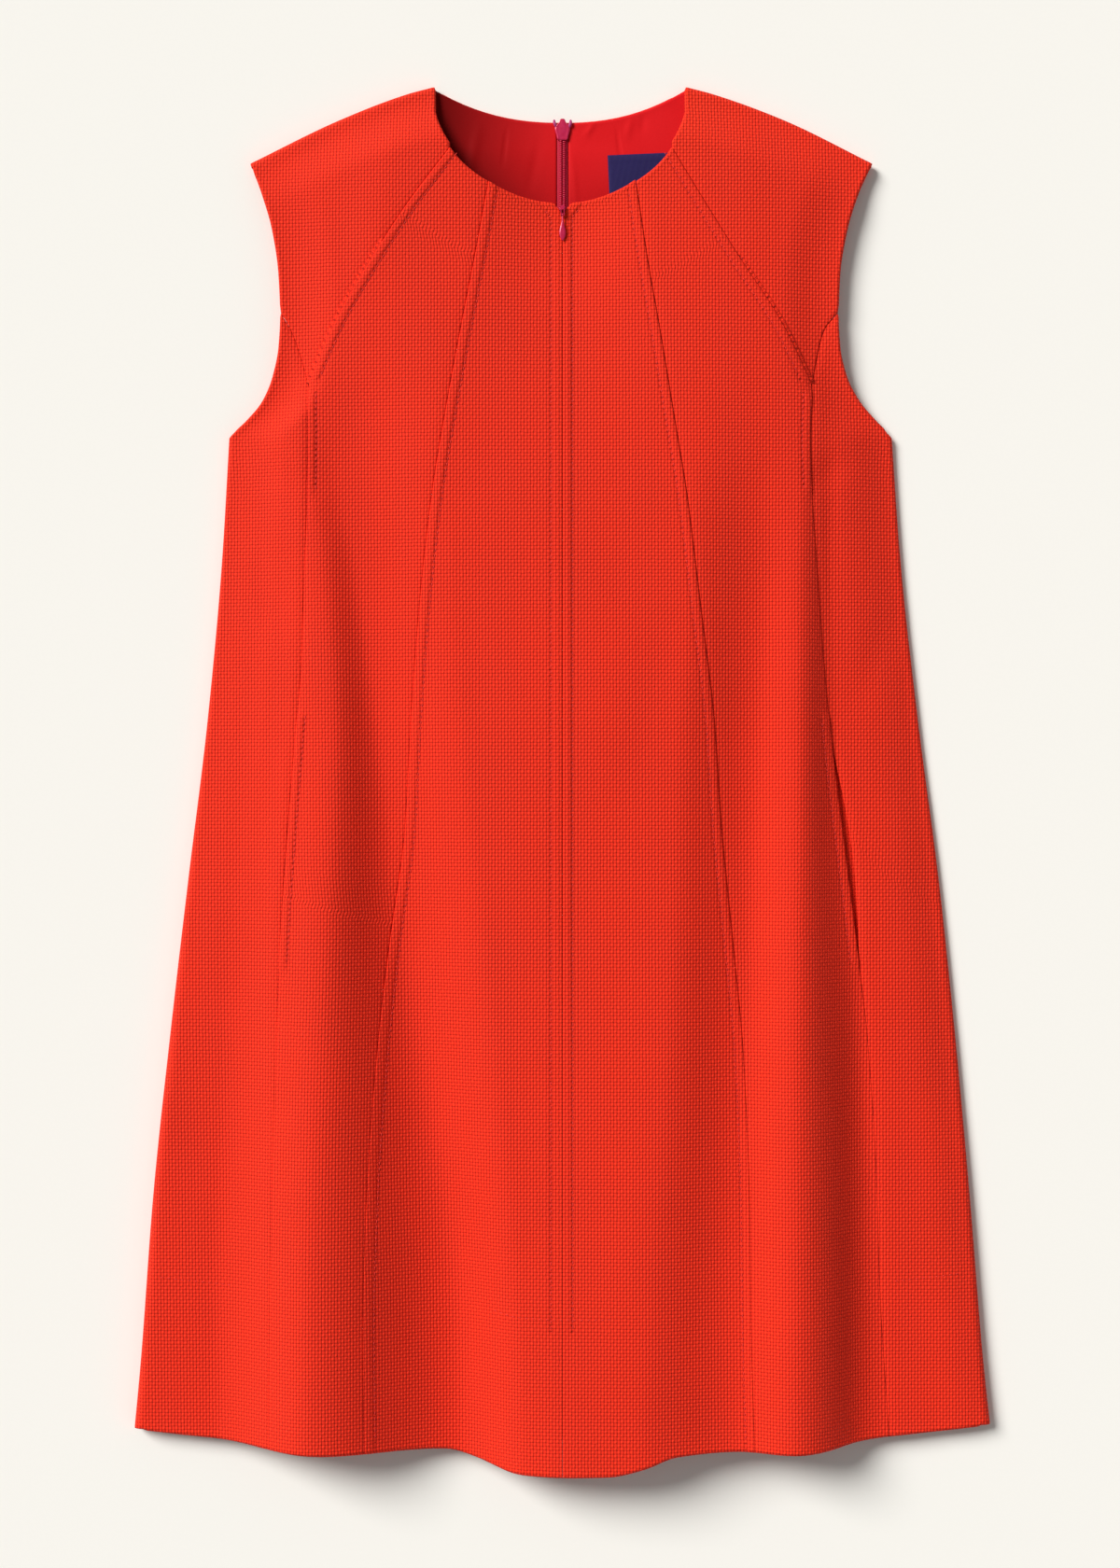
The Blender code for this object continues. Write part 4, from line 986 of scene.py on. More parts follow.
@dataclass(frozen=True)
class Backdrop:
    """Warm pale paper with a very faint tooth."""

    name: str = "pale_paper"
    colour: Colour = (0.915, 0.890, 0.825)

    def make(self) -> bpy.types.Material:
        """Builds the material."""
        shader = Shader(self.name)
        tooth = shader.noise(500.0, 2.0)
        shade = tuple(channel * 0.985 for channel in self.colour)
        shader.feed("Base Color", shader.blend(tooth, shade, self.colour))
        shader.constants(Roughness=0.9, Specular_IOR_Level=0.1)
        return shader.material


@dataclass
class Finishes:
    """Every material of the dress."""

    cloth: bpy.types.Material = field(default_factory=BasketWeave().make)
    lining: bpy.types.Material = field(default_factory=LiningCloth().make)
    tape: bpy.types.Material = field(default_factory=RibbedTape(
        "crimson_zip_tape", (0.56, 0.004, 0.034), (0.40, 0.002, 0.022)).make)
    label: bpy.types.Material = field(default_factory=RibbedTape(
        "navy_label_satin", (0.012, 0.004, 0.088), (0.006, 0.002, 0.050), 0.7, 0.7).make)
    coil: bpy.types.Material = field(default_factory=Moulded(
        "crimson_coil", (0.60, 0.005, 0.046), (0.72, 0.020, 0.10), 0.40).make)
    enamel: bpy.types.Material = field(default_factory=Moulded(
        "crimson_enamel", (0.55, 0.006, 0.060), (0.72, 0.035, 0.17), 0.34, 0.15, 0.35, 400.0, 0.02).make)
    tape_end: bpy.types.Material = field(default_factory=Moulded(
        "violet_tape_end", (0.42, 0.030, 0.16), (0.62, 0.11, 0.33), 0.6, 0.0, 0.0, 1800.0, 0.08).make)
    thread: bpy.types.Material = field(default_factory=Moulded(
        "red_thread", (0.66, 0.020, 0.011), (0.80, 0.045, 0.025), 0.7, 0.0, 0.0, 3000.0, 0.08).make)


# ---------------------------------------------------------------- the panels


@dataclass
class Shell:
    """The outer cloth: front, side, yoke and back panels, seam allowances and pocket bags."""

    looks: Finishes
    inner_stitches: tuple[float, float] = (6.5, 5.3)  # left, right of the centre
    yoke_stitches: float = 5.6
    pocket_stitches: float = 5.4
    centre_stitches: tuple[float, float] = (7.2, 6.2)
    centre_stitched_to: float = 786.0
    notch_half: float = 6.0
    notch_depth: float = 9.0
    notch_power: float = 1.5
    pocket: tuple[float, float] = (415.0, 552.0)
    pocket_gape: tuple[float, float] = (0.5, 4.4)
    outer_stitched_to: float = 262.0  # below it only the pocket's mouth is stitched
    softer_over: float = 50.0  # below the pocket the outer seam lies flatter within this drop
    grain_lines: tuple[float, float, float] = (104.0, 178.0, 134.0)  # of front mid, side and yoke
    bag_inner: float = 62.0  # how far the bag reaches to either side of its seam
    bag_outer: float = 15.0
    bag_wall: float = 1.0
    back_armhole_from: float = 62.0
    roll_steps: int = 10
    allowance: float = 6.0
    allowance_gap: float = 0.9
    allowance_wall: float = 0.8
    allowance_short: float = 3.5  # how far it stops inside the ends of its seam
    allowance_short_armhole: float = 9.0
    stitching: list[Array] = field(default_factory=list)

    def build(self) -> None:
        """Makes every panel of both sides."""
        for side in Side:
            self.front_centre(side)
            self.front_mid(side)
            self.side_panel(side)
            self.yoke(side)
            self.back(side)

    def stitched(self, side: Side, line: Array, inwards: float, stretches: Sequence[tuple[float, float]],
                 edges: Sequence[Edge]) -> None:
        """Keeps the points of a row of stitches for the thread, on the finished relief."""
        row = moved_aside(line, -inwards * side.value)
        for first, last in stretches:
            part = row[(row[:, 1] > first + 4.0) & (row[:, 1] < last - 4.0)]
            if len(part) > 1:
                even = at_share(part, np.linspace(0.0, 1.0, max(2, int(length_of(part) / 0.9))))
                self.stitching.append(FRONT.on(even, relief(even, edges)[0] + FRONT.unevenness(even)))

    def front_piece(self, name: str, plan: Array, edges: Sequence[Edge], grain: float) -> None:
        """Lays a front panel's plan on the folds with its relief, and builds it."""
        lift, stitch = relief(plan, edges)
        points = FRONT.on(plan, lift + FRONT.unevenness(plan))
        sheet = Sheet(name, points, grain_map(points, grain), stitch)
        sheet.build(self.looks.cloth, "cloth", [name], ["back_left", "back_right"])

    def front_centre(self, side: Side) -> None:
        """From the centre front to the inner seam, with half of the zip's notch at its top."""
        k = int(side is Side.RIGHT)
        seam = CUT.seam(CUT.inner_seam, side, -HALF_SEAM)
        half = np.linspace(self.notch_half, abs(seam[0, 0]), 80)
        neck = sided(side, half, CUT.front_neck(side, half))
        neck[-1] = seam[0]
        hem_middle = CUT.hem_drop(0.0)[0]
        v = graded(hem_middle - neck[0, 1])[0]
        drops = neck[0, 1] + v * (hem_middle - neck[0, 1])
        opened = np.clip((neck[0, 1] + self.notch_depth - drops) / self.notch_depth, 0.0, 1.0)
        gap = HALF_SEAM + (self.notch_half - HALF_SEAM) * opened**self.notch_power
        middle = sided(side, gap, drops)
        hem = CUT.hem_line(middle[-1], seam[-1])
        plan = panel(neck, hem, middle, at_share(seam, v), v)
        edges = [
            Edge(middle, self.centre_stitches[k], ((neck[0, 1] - 12.0, self.centre_stitched_to),), raised=0.35),
            Edge(seam, self.inner_stitches[k]),
            Turned(neck, **NECK_TURN),
            Turned(hem),
        ]
        self.stitched(side, middle, -self.centre_stitches[k], edges[0].held, edges)
        self.stitched(side, seam, self.inner_stitches[k], ((seam[0, 1], seam[-1, 1]),), edges)
        self.front_piece(f"front_centre_{side.word}", plan, edges, 0.0)

    def front_mid_plan(self, side: Side) -> tuple[Array, Array, Array, Array, Array]:
        """Plan grid and edges of the panel between the inner seam and the yoke and outer seams."""
        seam = CUT.seam(CUT.inner_seam, side, HALF_SEAM)
        yoke_edge = CUT.seam(CUT.yoke_seam, side, -HALF_SEAM, CUT.junction)
        outer_edge = CUT.seam(CUT.outer_seam, side, -HALF_SEAM)
        edge = joined(yoke_edge, outer_edge)
        half = np.linspace(abs(seam[0, 0]), abs(edge[0, 0]), 40)
        share = np.linspace(0.0, 1.0, 40)
        neck = sided(side, half, CUT.front_neck(side, half))
        neck[:, 1] += (seam[0, 1] - neck[0, 1]) * (1 - share) + (edge[0, 1] - neck[-1, 1]) * share
        v = graded(length_of(seam))[0]
        plan = panel(neck, CUT.hem_line(seam[-1], edge[-1]), at_share(seam, v), at_share(edge, v), v)
        return plan, seam, yoke_edge, outer_edge, neck

    def front_mid(self, side: Side) -> None:
        """The panel between the inner seam and, outside it, the yoke and outer seams."""
        plan, seam, yoke_edge, outer_edge, neck = self.front_mid_plan(side)
        top, bottom = self.pocket
        outer_held = ((CUT.junction, self.outer_stitched_to), (top - 22.0, bottom + 8.0))
        edges = [
            Edge(seam),
            Edge(yoke_edge, self.yoke_stitches, ((0.0, CUT.junction + 4.0),)),
            Edge(outer_edge, self.pocket_stitches, outer_held, softer_from=bottom,
                 softer_over=self.softer_over),
            Turned(neck, **NECK_TURN),
            Turned(plan[-1]),
        ]
        self.stitched(side, yoke_edge, self.yoke_stitches, ((yoke_edge[0, 1] - 4.0, CUT.junction),), edges)
        self.stitched(side, outer_edge, self.pocket_stitches, outer_held, edges)
        self.front_piece(f"front_mid_{side.word}", plan, edges, side.value * self.grain_lines[0])

    def side_fold(self, side: Side, share: Array) -> tuple[Array, Array, Array]:
        """Top line, rim and radius of the side fold at shares of its length."""
        drops = CUT.underarm + (CUT.side_end - CUT.underarm) * share
        radius = CUT.fold_radius(drops)
        rim = sided(side, CUT.side.half(side, drops), drops)
        top = rim - sided(side, radius, np.zeros(len(drops)))
        top[:, 1] -= CUT.underarm_dip * bump(share, 0.02)
        sag = (CUT.hem_drop(rim[-1, 0])[0] - rim[-1, 1]) * share**40
        top[:, 1] += sag
        rim[:, 1] += sag
        return top, rim, radius

    def side_panel(self, side: Side) -> None:
        """From the outer seam round the side fold to the back seam."""
        seam = joined(CUT.seam(CUT.short_seam, side, HALF_SEAM, CUT.junction),
                      CUT.seam(CUT.outer_seam, side, HALF_SEAM))
        mouth = np.clip((seam[:, 1] - self.pocket[0]) / (self.pocket[1] - self.pocket[0]), 0.0, 1.0)
        seam[:, 0] += side.value * self.pocket_gape[side is Side.RIGHT] * np.sin(np.pi * mouth)
        v = graded(length_of(seam))[0]
        top, rim, radius = self.side_fold(side, v)
        armhole = CUT.armhole.line(side, seam[0, 1] + 2.0, CUT.underarm)
        armhole = armhole[np.abs(armhole[:, 0]) < abs(top[0, 0]) - 1.0]
        armhole = joined(seam[:1], armhole, top[:1])
        hem = CUT.hem_line(seam[-1], top[-1])
        start = at_share(seam, v)
        u = graded(np.linalg.norm(top - start, axis=1))
        wide = np.linspace(u[:, -len(NEAR_EDGE)], 1.0, 5, axis=1)[:, 1:]  # no close columns towards the fold
        plan = patch(armhole, hem, start, top, np.concatenate([u[:, :-len(NEAR_EDGE)], wide], axis=1), v)
        edges = [Edge(seam, dip=0.6, softer_from=self.pocket[1], softer_over=self.softer_over),
                 Turned(armhole, **ARM_TURN), Turned(hem)]
        lift, stitch = relief(plan, edges)
        lift += FRONT.unevenness(plan)
        front = FRONT.on(plan, lift)
        front[:, -1, :2], front[:, -1, 2] = top, 2 * radius + lift[:, -1]
        angle = np.linspace(math.pi / 2, -math.pi / 2, self.roll_steps + 1)[None, 1:-1, None]
        round_plan = top[:, None] + (rim - top)[:, None] * np.cos(angle)
        risen = 1 + np.sin(angle)
        round_height = (radius[:, None, None] * risen) + lift[:, -1][:, None, None] * risen / 2
        rolled = np.concatenate([round_plan, round_height], axis=-1)
        points = np.concatenate([front, rolled, self.side_back(side, top, v)], axis=1)
        none = unstitched(len(points), points.shape[1] - stitch.shape[1])
        weave = grain_map(points, side.value * self.grain_lines[1], plan.shape[1])
        sheet = Sheet(f"side_{side.word}", points, weave, np.concatenate([stitch, none], axis=1))
        sheet.build(self.looks.cloth, "cloth", [f"side_{side.word}"], ["back_left", "back_right"])

    def side_back(self, side: Side, top: Array, v: Array) -> Array:
        """The side panel's part on the back, flat on the surface, from the fold to the back seam."""
        under = top.copy()
        under[:, 1] += (CUT.back_hem_drop(top[-1, 0])[0] - top[-1, 1]) * v**8
        seam = CUT.back_seam_line(side, HALF_SEAM)
        armhole = CUT.back_armhole(side, seam[0, 1] + 3.0, CUT.underarm)
        armhole = armhole[np.abs(armhole[:, 0]) < abs(under[0, 0]) - 2.0]
        armhole = joined(seam[:1], armhole, under[:1])[::-1]
        hem = CUT.back_hem_line(under[-1], seam[-1])
        plan = panel(armhole, hem, under, at_share(seam, v), v, BACK_STEP)
        edges = [Edge(seam, dip=0.3, roll=0.9), Turned(armhole, roll=1.1), Turned(hem, roll=1.2)]
        sink = -relief(plan, edges)[0]
        return np.concatenate([plan, np.maximum(sink, 0.0)[..., None]], axis=-1)

    def yoke(self, side: Side) -> None:
        """Shoulder piece: from the yoke seam up over the shoulder fold to the shoulder seam behind."""
        fold, rim = (CUT.shoulder_line(side, inwards) for inwards in (CUT.shoulder_radius, 0.0))
        seam = CUT.seam(CUT.yoke_seam, side, HALF_SEAM, CUT.junction)
        arm_seam = CUT.seam(CUT.short_seam, side, -HALF_SEAM, CUT.junction)
        seam[-1] = arm_seam[-1] = (seam[-1] + arm_seam[-1]) / 2 - (0.0, CUT.yoke_point_gap)
        half = np.linspace(abs(fold[0, 0]), abs(seam[0, 0]), 80)
        neck = sided(side, half, CUT.front_neck(side, half))
        inner = (neck[:, 1] > fold[0, 1] + 1.0) & (neck[:, 1] < seam[0, 1] - 1.0)
        neck = joined(fold[:1], neck[inner], seam[:1])
        armhole = CUT.armhole.line(side, CUT.armhole.rows[0][0] + 6.0, arm_seam[0, 1] - 2.0)
        armhole = joined(fold[-1:], armhole, arm_seam[:1])
        outer = joined(armhole, arm_seam)
        v = graded((length_of(neck) + length_of(outer)) / 2)[0]
        v = np.concatenate([np.linspace(0.0, v[len(NEAR_EDGE) - 1], 5)[:-1], v[len(NEAR_EDGE) - 1:]])
        corner = length_of(armhole) / length_of(outer)
        nearest = v[np.abs(v - corner).argmin()]
        v = np.interp(v, (0.0, nearest, 1.0), (0.0, corner, 1.0))  # so that a row meets the corner
        start, end = at_share(neck, v), at_share(outer, v)
        u = graded(np.linalg.norm(end - start, axis=1))
        plan = patch(fold, seam, start, end, u, v)
        edges = [Edge(seam), Edge(arm_seam, dip=0.1), Turned(neck, **NECK_TURN), Turned(armhole, **ARM_TURN)]
        lift, stitch = relief(plan, edges)
        front = FRONT.on(plan, lift + FRONT.unevenness(plan))
        radius = CUT.shoulder_radius
        top_line, rim_line = at_share(fold, u[0]), at_share(rim, u[0])
        front[0, :, :2], front[0, :, 2] = top_line, 2 * radius + lift[0]
        angle = np.linspace(-math.pi / 2, math.pi / 2, self.roll_steps + 1)[:-1, None, None]
        round_plan = top_line + (rim_line - top_line) * np.cos(angle)
        round_height = (radius + lift[0][:, None] / 2) * (1 + np.sin(angle))
        rolled = np.concatenate([round_plan, np.maximum(round_height, 0.0)], axis=-1)
        last = CUT.shoulder_line(side, radius + CUT.shoulder_strip)
        strip = [np.concatenate([top_line + (at_share(last, u[0]) - top_line) * share,
                                 np.full((len(top_line), 1), sink)], axis=1)
                 for share, sink in ((1.0, 0.9), (0.85, 0.25), (0.6, 0.0))]
        points = np.concatenate([np.stack(strip), rolled, front])
        stitch = np.concatenate([unstitched(len(points) - len(stitch), points.shape[1]), stitch])
        sheet = Sheet(f"yoke_{side.word}", points, grain_map(points, side.value * self.grain_lines[2]), stitch)
        sheet.build(self.looks.cloth, "cloth", [f"yoke_{side.word}"], ["back_left", "back_right"])

    def back(self, side: Side) -> None:
        """Half of the back, flat on the surface, from the centre back to the back seam."""
        shoulder = CUT.shoulder_line(side, CUT.shoulder_radius + CUT.shoulder_strip + 2 * HALF_SEAM)
        half = np.linspace(HALF_SEAM, abs(shoulder[0, 0]) - 2.0, 60)
        neck = sided(side, half, CUT.back_neck(side, half))
        top = np.concatenate([neck, shoulder])
        seam = CUT.back_seam_line(side, -HALF_SEAM)
        armhole = CUT.back_armhole(side, self.back_armhole_from, seam[0, 1] - 1.0)
        outer = np.concatenate([top[-1:], armhole, seam])
        centre = side.value * HALF_SEAM
        hem = CUT.back_hem_line(np.array([centre, CUT.back_hem_drop(centre)[0]]), seam[-1])
        v = graded(length_of(outer), BACK_STEP)[0]
        middle = top[0] + (hem[0] - top[0]) * v[:, None]
        plan = panel(top, hem, middle, at_share(outer, v), v, BACK_STEP)
        edges = [Edge(middle, dip=0.3, roll=0.9), Edge(seam, dip=0.3, roll=0.9),
                 Edge(shoulder, dip=0.2, roll=0.9), Turned(neck, roll=0.8), Turned(armhole, roll=1.0),
                 Turned(hem, roll=1.1)]
        sink = np.maximum(-relief(plan, edges)[0], 0.0)
        points = np.concatenate([plan, sink[..., None]], axis=-1)
        sheet = Sheet(f"back_{side.word}", points, grain_map(points, 0.0), unstitched(*sink.shape),
                      faces_up=False)
        sheet.build(self.looks.cloth, "cloth", [f"back_{side.word}"])

    def allowances(self, side: Side) -> None:
        """Pressed-open seam allowances, as one strip under each seam of the front."""
        courses = {
            "inner": CUT.seam(CUT.inner_seam, side, 0.0),
            "yoke": CUT.seam(CUT.yoke_seam, side, 0.0, CUT.junction),
            "short": CUT.seam(CUT.short_seam, side, 0.0, CUT.junction),
            "outer": CUT.seam(CUT.outer_seam, side, 0.0),
        }
        for name, line in courses.items():
            first = self.allowance_short_armhole if name == "short" else self.allowance_short
            run = length_of(line)
            v = np.linspace(first / run, 1.0 - self.allowance_short / run, max(12, int(run / 8.0)))
            middle = at_share(line, v)
            aside = np.linspace(-self.allowance, self.allowance, 7)
            plan = np.stack([moved_aside(middle, distance) for distance in aside], axis=1)
            lift = -(CLOTH + self.allowance_gap) - 0.12 * np.abs(aside) / self.allowance
            points = FRONT.on(plan, np.broadcast_to(lift, plan.shape[:2]))
            sheet = Sheet(f"{name}_allowance_{side.word}", points, grain_map(points, plan[0, 3, 0]),
                          unstitched(*plan.shape[:2]), self.allowance_wall,
                          flat=(2.02 * self.allowance, 1.01 * length_of(middle)))
            sheet.build(self.looks.cloth, "cloth", [], ["back_left", "back_right"])

    def pocket_bag(self, side: Side) -> None:
        """Bag of the in-seam pocket, just under the panels on both sides of the seam."""
        first, last = self.pocket[0] - 15.0, self.pocket[1] + 30.0
        drops = np.linspace(first, last, 60)
        share = np.linspace(-1.0, 1.0, 60)
        inner = self.bag_inner * np.sqrt(1 - 0.4 * share**8)
        seam = CUT.outer_seam.half(side, drops)
        u = np.linspace(0.0, 1.0, 34)
        half = seam[:, None] + self.bag_outer - (inner[:, None] + self.bag_outer) * u
        plan = np.stack([side.value * half, np.broadcast_to(drops[:, None], half.shape)], axis=-1)
        lift = -(CLOTH + LAYER_GAP + 0.9) + 0.3 * np.sin(drops[:, None] / 17.0) * np.sin(np.pi * u)
        points = FRONT.on(plan, lift)
        weave = grain_map(points, plan[30, 16, 0])
        sheet = Sheet(f"pocket_{side.word}", points, weave, unstitched(*lift.shape), self.bag_wall)
        sheet.build(self.looks.cloth, "cloth", [f"pocket_{side.word}"], [f"back_{side.word}"])


# ---------------------------------------------------------------- threads, neck and zips


def tube_faces(rings: int, around: int) -> Array:
    """Quads of a tube of rings of points."""
    index = np.arange(rings * around).reshape(rings, around)
    after = np.roll(index, -1, axis=1)
    return np.stack([index[:-1], after[:-1], after[1:], index[1:]], axis=-1).reshape(-1, 4)


def repeated(faces: Array, times: int) -> Array:
    """Faces of several like tubes whose points follow each other."""
    shift = np.arange(times) * (faces.max() + 1)
    return (faces[None] + shift[:, None, None]).reshape(-1, faces.shape[1])


def rounded(values: Array, power: float) -> Array:
    """Sine or cosine values taken to a power with their sign kept, which squares a circle up."""
    return np.sign(values) * np.abs(values) ** power


def closed_piece(name: str, points: Array, faces: Array, look: bpy.types.Material,
                 node: str | None = None, body: str = "dress") -> None:
    """Makes a closed piece from tubes, and parents it to its body.

    Args:
        name: Name of the piece.
        points: Its points in millimetres.
        faces: Corner indices of its quads; the tubes' open ends are filled.
        look: Its material.
        node: The CAD node it takes the place of, if any.
        body: The body it rides on.
    """
    piece = mesh_object(name, metres(points.reshape(-1, 3)), faces, look)
    work = bmesh.new()
    work.from_mesh(piece.data)
    rims = [edge for edge in work.edges if len(edge.link_faces) == 1]
    bmesh.ops.holes_fill(work, edges=rims, sides=0)
    bmesh.ops.recalc_face_normals(work, faces=work.faces)
    work.to_mesh(piece.data)
    work.free()
    piece.data.shade_smooth()
    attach(piece, body)
    if node:
        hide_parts(node)


@dataclass
class Stitching:
    """Topstitches as short sunken loops of thread along the finished relief."""

    looks: Finishes
    length: float = 2.7
    radius: float = 0.33
    rings: int = 5
    around: int = 6

    def build(self, name: str, rows: Sequence[Array], pitch: float = 3.6, proud: float = 0.12) -> None:
        """Joins every stitch of some rows into one piece.

        Each stitch is a spindle: its radius follows the root of a sine along its length, and its
        middle stands proud of the cloth while its ends dive in.

        Args:
            name: Name of the piece.
            rows: Lines of points on the cloth, closely spaced.
            pitch: Distance from stitch to stitch.
            proud: How far a stitch's middle stands out.
        """
        share = np.linspace(0.0, 1.0, self.rings)
        swell = np.sqrt(np.clip(np.sin(np.pi * share), 0.0, 1.0)) * 0.9 + 0.1
        turn = np.linspace(0.0, math.tau, self.around, endpoint=False)
        made = []
        for row in rows:
            count = int(length_of(row) // pitch)
            starts = (np.arange(count) + 0.5) * pitch / length_of(row)
            reach = self.length / 2 / length_of(row)
            place = at_share(row, starts[:, None] + (share - 0.5) * 2 * reach)
            along = place[:, -1] - place[:, 0]
            along /= np.linalg.norm(along, axis=-1, keepdims=True)
            beside_it = np.cross(along, (0.0, 0.0, 1.0))
            beside_it /= np.linalg.norm(beside_it, axis=-1, keepdims=True)
            out = np.cross(beside_it, along)
            out *= np.sign(out[:, 2:])
            middle = place + (proud * (2 * swell - 1.3))[None, :, None] * out[:, None]
            ring = np.cos(turn)[:, None] * beside_it[:, None, None] + np.sin(turn)[:, None] * out[:, None, None]
            stitches = middle[:, :, None] + ring * (self.radius * swell)[None, :, None, None]
            made.append(stitches.reshape(-1, self.rings * self.around, 3))
        points = np.concatenate(made)
        faces = repeated(tube_faces(self.rings, self.around), len(points))
        closed_piece(name, points, faces, self.looks.thread)
        LOG.info("%s: %d stitches", name, len(points))


@dataclass
class NeckInside:
    """What shows through the neck: lining, plain label and the centre back zip."""

    looks: Finishes
    lining_wall: float = 1.0
    lining_drop: float = 150.0
    lining_half: float = 118.0
    lining_bulge: float = 6.0
    lining_edge_in: float = 0.8
    tape_half: float = 3.4
    tape_wall: float = 0.7
    label_size: tuple[float, float] = (48.0, 34.0)
    label_corner: tuple[float, float] = (28.5, 43.0)
    label_tilt: float = math.radians(2.5)
    zip_length: float = 500.0
    tooth_pitch: float = 1.25
    slider_top: float = 20.0
    slider_length: float = 13.5
    slider_half: float = 4.9
    slider_wall: float = 1.6
    # Share of the slider's half width at even shares of its length.
    slider_outline: tuple[float, ...] = (0.32, 0.37, 0.52, 0.86, 0.99, 1.0, 0.95, 0.86, 0.78, 0.74, 0.74)
    lining_creases: tuple[Crease, ...] = (
        Crease((-35.2, 24.0), (-38.0, 52.0), 0.8, 0.45),
        Crease((34.0, 24.0), (37.5, 50.0), 0.8, 0.45),
        Crease((21.0, 21.0), (13.0, 33.0), 1.6, -0.5),
        Crease((44.0, 18.0), (40.0, 34.0), 2.0, -0.4),
        Crease((52.0, 16.0), (50.0, 30.0), 2.4, 0.35),
        Crease((-14.0, 30.0), (-22.0, 70.0), 3.0, 0.3),
        Crease((-52.0, 20.0), (-60.0, 60.0), 3.0, -0.35),
        Crease((6.0, 40.0), (9.0, 80.0), 1.8, -0.25),
    )

    def build(self) -> None:
        """Makes the lining, the label and the zip."""
        for side in Side:
            self.lining(side)
        self.label()
        self.tape()
        self.tape_ends()
        self.coil()
        self.slider()

    def lining(self, side: Side) -> None:
        """Half of the back neck's lining, lying on the back beside the zip."""
        inner = self.tape_half + 0.3
        half = np.linspace(inner, CUT.neck_half[side is Side.RIGHT] - 0.6, 60)
        top = sided(side, half, CUT.back_neck(side, half) + self.lining_edge_in)
        bottom = sided(side, np.linspace(inner, self.lining_half, 60), np.full(60, self.lining_drop))
        v = graded(self.lining_drop - top[0, 1], 2.0)[0]
        outer = top[-1] + (bottom[-1] - top[-1]) * v[:, None]
        outer[:, 0] += side.value * self.lining_bulge * np.sin(np.pi * v)
        start = top[0] + (bottom[0] - top[0]) * v[:, None]
        plan = panel(top, bottom, start, outer, v, 2.0)
        lift = sum(crease.lift(plan) for crease in self.lining_creases)
        edges = [Turned(top, roll=0.7, turn=1.4, dip=-0.15), Edge(start, dip=0.1, roll=0.5, turn=1.0)]
        edge = relief(plan, edges)[0]
        height = CLOTH + LAYER_GAP + self.lining_wall + np.maximum(lift + edge, -0.9)
        points = np.concatenate([plan, height[..., None]], axis=-1)
        sheet = Sheet(f"back_lining_{side.word}", points, grain_map(points, 0.0), wall=0.5)
        sheet.build(self.looks.lining, "lining", [sheet.name], [f"back_{side.word}"])

    def label(self) -> None:
        """Plain woven label, a little askew, with turned ends and a slight lift at its corner."""
        width, height = self.label_size
        u, v = np.meshgrid(graded(width, 2.0)[0], graded(height, 2.0)[0])
        across, down = u * width, v * height
        cosine, sine = math.cos(self.label_tilt), math.sin(self.label_tilt)
        plan = np.stack([self.label_corner[0] + across * cosine + down * sine,
                         self.label_corner[1] - across * sine + down * cosine], axis=-1)
        base = CLOTH + 2 * LAYER_GAP + self.lining_wall + 0.6
        edge = np.minimum(np.minimum(across, width - across), np.minimum(down, height - down))
        lift = 0.35 * bump(across, 9.0) * v**2 + 0.15 * np.sin(across / 6.0) * v - 0.35 * bump(edge, 0.8)
        lift += 0.12 * (bump(down - 3.5, 1.0) + bump(height - down - 3.5, 1.0))
        points = np.concatenate([plan, (base + lift)[..., None]], axis=-1)
        sheet = Sheet("label", points, np.stack([across, down], axis=-1), wall=0.5)
        sheet.build(self.looks.label, "label", ["label"], ["back_lining_right"])

    def tape(self) -> None:
        """The zip's tape under the chain, from just inside the neck's edge."""
        start = CUT.back_neck_depth + self.lining_edge_in + 0.4
        drops = start + self.zip_length * np.linspace(0.0, 1.0, 320)
        across = np.linspace(-1.0, 1.0, 13)
        plan_x = self.tape_half * across * np.ones((len(drops), 1))
        height = CLOTH + LAYER_GAP + self.tape_wall + 0.12 * np.abs(across) * np.sin(drops[:, None] / 9.0)
        points = np.stack([plan_x, np.broadcast_to(drops[:, None], plan_x.shape), height], axis=-1)
        sheet = Sheet("back_zip_tape", points, points[..., :2], wall=0.6)
        sheet.build(self.looks.tape, "zip_tape", ["back_zip_tape"], declared=False)

    def tape_ends(self) -> None:
        """The tape's two top ends, folded out beside the slider as small plump loops."""
        share = np.linspace(0.0, 1.0, 15)
        turn = np.linspace(0.0, math.tau, 12, endpoint=False)
        rings, height = [], CLOTH + LAYER_GAP + self.tape_wall + 0.9
        for side in Side:
            bowed = np.sin(np.pi * share)
            along = np.stack([side.value * (3.7 + 1.5 * share + 0.5 * bowed), 26.4 - 6.0 * share,
                              height + 0.9 * bowed], axis=1)
            plump = (0.25 + 0.75 * np.sqrt(np.clip(np.sin(np.pi * share), 0.0, 1.0)))[:, None]
            round_it = np.stack([plump * np.cos(turn), 0.25 * plump * np.cos(turn),
                                 0.7 * plump * np.sin(turn)], axis=-1)
            rings.append((along[:, None] + round_it).reshape(-1, 3))
        faces = repeated(tube_faces(len(share), len(turn)), len(rings))
        closed_piece("back_zip_tape_ends", np.concatenate(rings), faces, self.looks.tape_end)

